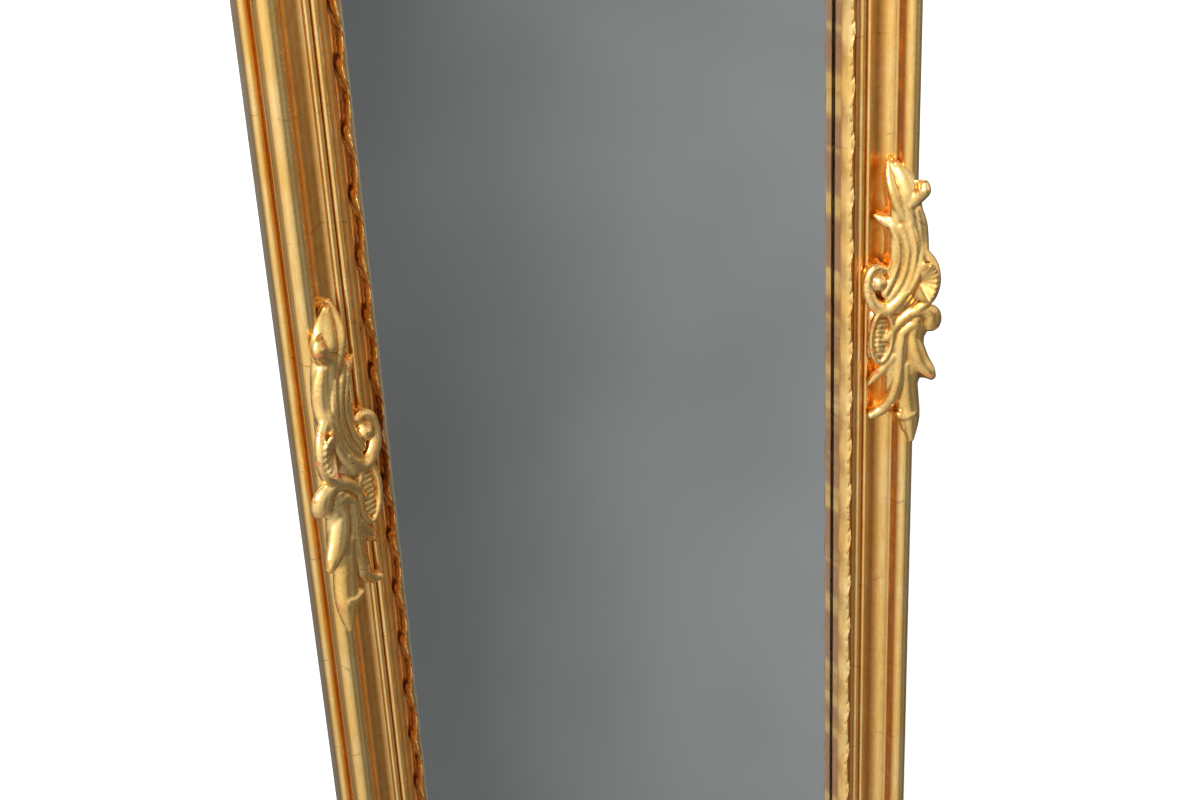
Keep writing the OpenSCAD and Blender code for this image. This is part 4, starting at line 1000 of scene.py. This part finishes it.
def floor_finish():
    """White paper that keeps the shadow, and that mirrors and metal look past."""
    f = Finish("floor_paper")
    paper = f.noise(f.coordinates(), 3, 2)
    f.set(base_color=f.blend(paper, (0.82, 0.82, 0.82), (0.86, 0.86, 0.86)), roughness=0.9)
    path = f.add("ShaderNodeLightPath")
    glow = f.add("ShaderNodeEmission")
    f.put(glow.inputs["Strength"], f.times(path.outputs["Is Camera Ray"], 0.45))
    lit = f.add("ShaderNodeAddShader")
    f.link(f.shader.outputs["BSDF"], lit.inputs[0])
    f.link(glow.outputs[0], lit.inputs[1])
    clear = f.add("ShaderNodeBsdfTransparent")
    pick = f.add("ShaderNodeMixShader")
    f.link(f.math("MAXIMUM", path.outputs["Is Glossy Ray"], path.outputs["Is Transmission Ray"]), pick.inputs[0])
    f.link(lit.outputs[0], pick.inputs[1])
    f.link(clear.outputs[0], pick.inputs[2])
    out = next(n for n in f.tree.nodes if n.type == "OUTPUT_MATERIAL")
    f.link(pick.outputs[0], out.inputs["Surface"])
    return f.material


def studio_world(scene):
    """White all round to the camera. Gloss sees a bright room, with a dim grey patch of it low on the right."""
    world = bpy.data.worlds.new("studio")
    world.use_nodes = True
    scene.world = world
    f = Finish.__new__(Finish)
    f.tree = world.node_tree
    f.tree.nodes.clear()
    texture = f.add("ShaderNodeTexCoord")
    across, back, up = f.split(texture.outputs["Generated"])
    bearing = f.times(f.math("ARCTAN2", across, f.times(back, -1)), 180 / math.pi)
    smoke = f.noise(texture.outputs["Generated"], 5, 2)
    screen = f.stops(f.math("DIVIDE", bearing, 60), [(0.25, 0.12), (0.31, 0.122), (0.38, 0.147), (0.44, 0.2),
                                                     (0.5, 0.245), (0.56, 0.275), (0.64, 0.3), (0.72, 0.32)])
    screen = f.times(screen, f.between(smoke, 0.3, 0.7, 0.88, 1.08))
    patch = f.times(f.between(bearing, 6, 14), f.between(bearing, 37.5, 46, 1, 0))
    low = f.times(f.between(up, -0.68, -0.58), f.between(up, -0.1, 0.02, 1, 0))
    patch = f.times(patch, low)
    room = f.stops(f.math("ADD", f.math("DIVIDE", bearing, 360), 0.5),
                   [(0, 0.25), (0.14, 0.25), (0.24, 0.6), (0.32, 1), (0.42, 1), (0.5, 0.66), (0.6, 0.46),
                    (0.66, 0.2), (0.8, 0.14), (0.9, 0.22), (1, 0.25)])
    room = f.times(room, f.stops(f.times(f.math("ADD", up, 1), 0.5),
                                            [(0, 0.4), (0.25, 0.6), (0.45, 0.85), (0.6, 1), (0.85, 1), (1, 0.9)]))
    room = f.times(room, 1.36)
    level = f.math("ADD", f.times(screen, patch), f.times(room, f.math("SUBTRACT", 1, patch)))
    behind = f.times(f.between(back, 0.2, 0.5), f.between(up, -0.2, 0.1))
    level = f.math("ADD", f.times(level, f.math("SUBTRACT", 1.0, behind)), behind)
    path = f.add("ShaderNodeLightPath")
    glint = f.math("MAXIMUM", path.outputs["Is Glossy Ray"], path.outputs["Is Transmission Ray"])
    plain = f.times(f.math("SUBTRACT", 1.0, glint), 0.45)
    strength = f.math("ADD", f.times(level, glint), plain)
    strength = f.math("MAXIMUM", strength, path.outputs["Is Camera Ray"])
    sky = f.add("ShaderNodeBackground")
    f.put(sky.inputs["Strength"], strength)
    sky.inputs["Color"].default_value = (1, 1, 1, 1)
    out = f.add("ShaderNodeOutputWorld")
    f.link(sky.outputs[0], out.inputs["Surface"])


# ---- Panel and running ----

class FloorMirrorPanel(bpy.types.Panel):
    """Lists the steps that build the mirror"""
    bl_idname = "VIEW3D_PT_floor_mirror"
    bl_label = "Floor Mirror"
    bl_space_type = "VIEW_3D"
    bl_region_type = "UI"
    bl_category = "Floor Mirror"

    def draw(self, context):
        for step in STEPS:
            self.layout.operator(step.bl_idname)


STEPS = (GiltMouldings, LeafSlips, SideOrnaments, CornerOrnaments, MirrorGlass, BackAndLeg, Fittings, Studio)
SETTINGS = {"mirror_frame": FrameSizes, "mirror_slip": SlipSizes, "mirror_ornament": OrnamentSizes,
            "mirror_colours": FinishColours, "mirror_studio": StudioSettings}


def register():
    for cls in (*SETTINGS.values(), *STEPS, FloorMirrorPanel):
        bpy.utils.register_class(cls)
    for name, cls in SETTINGS.items():
        setattr(bpy.types.Scene, name, PointerProperty(type=cls))


def unregister():
    for name in SETTINGS:
        delattr(bpy.types.Scene, name)
    for cls in reversed((*SETTINGS.values(), *STEPS, FloorMirrorPanel)):
        bpy.utils.unregister_class(cls)


def main():
    register()
    for step in STEPS:
        group, name = step.bl_idname.split(".")
        getattr(getattr(bpy.ops, group), name)()


if __name__ == "__main__":
    main()
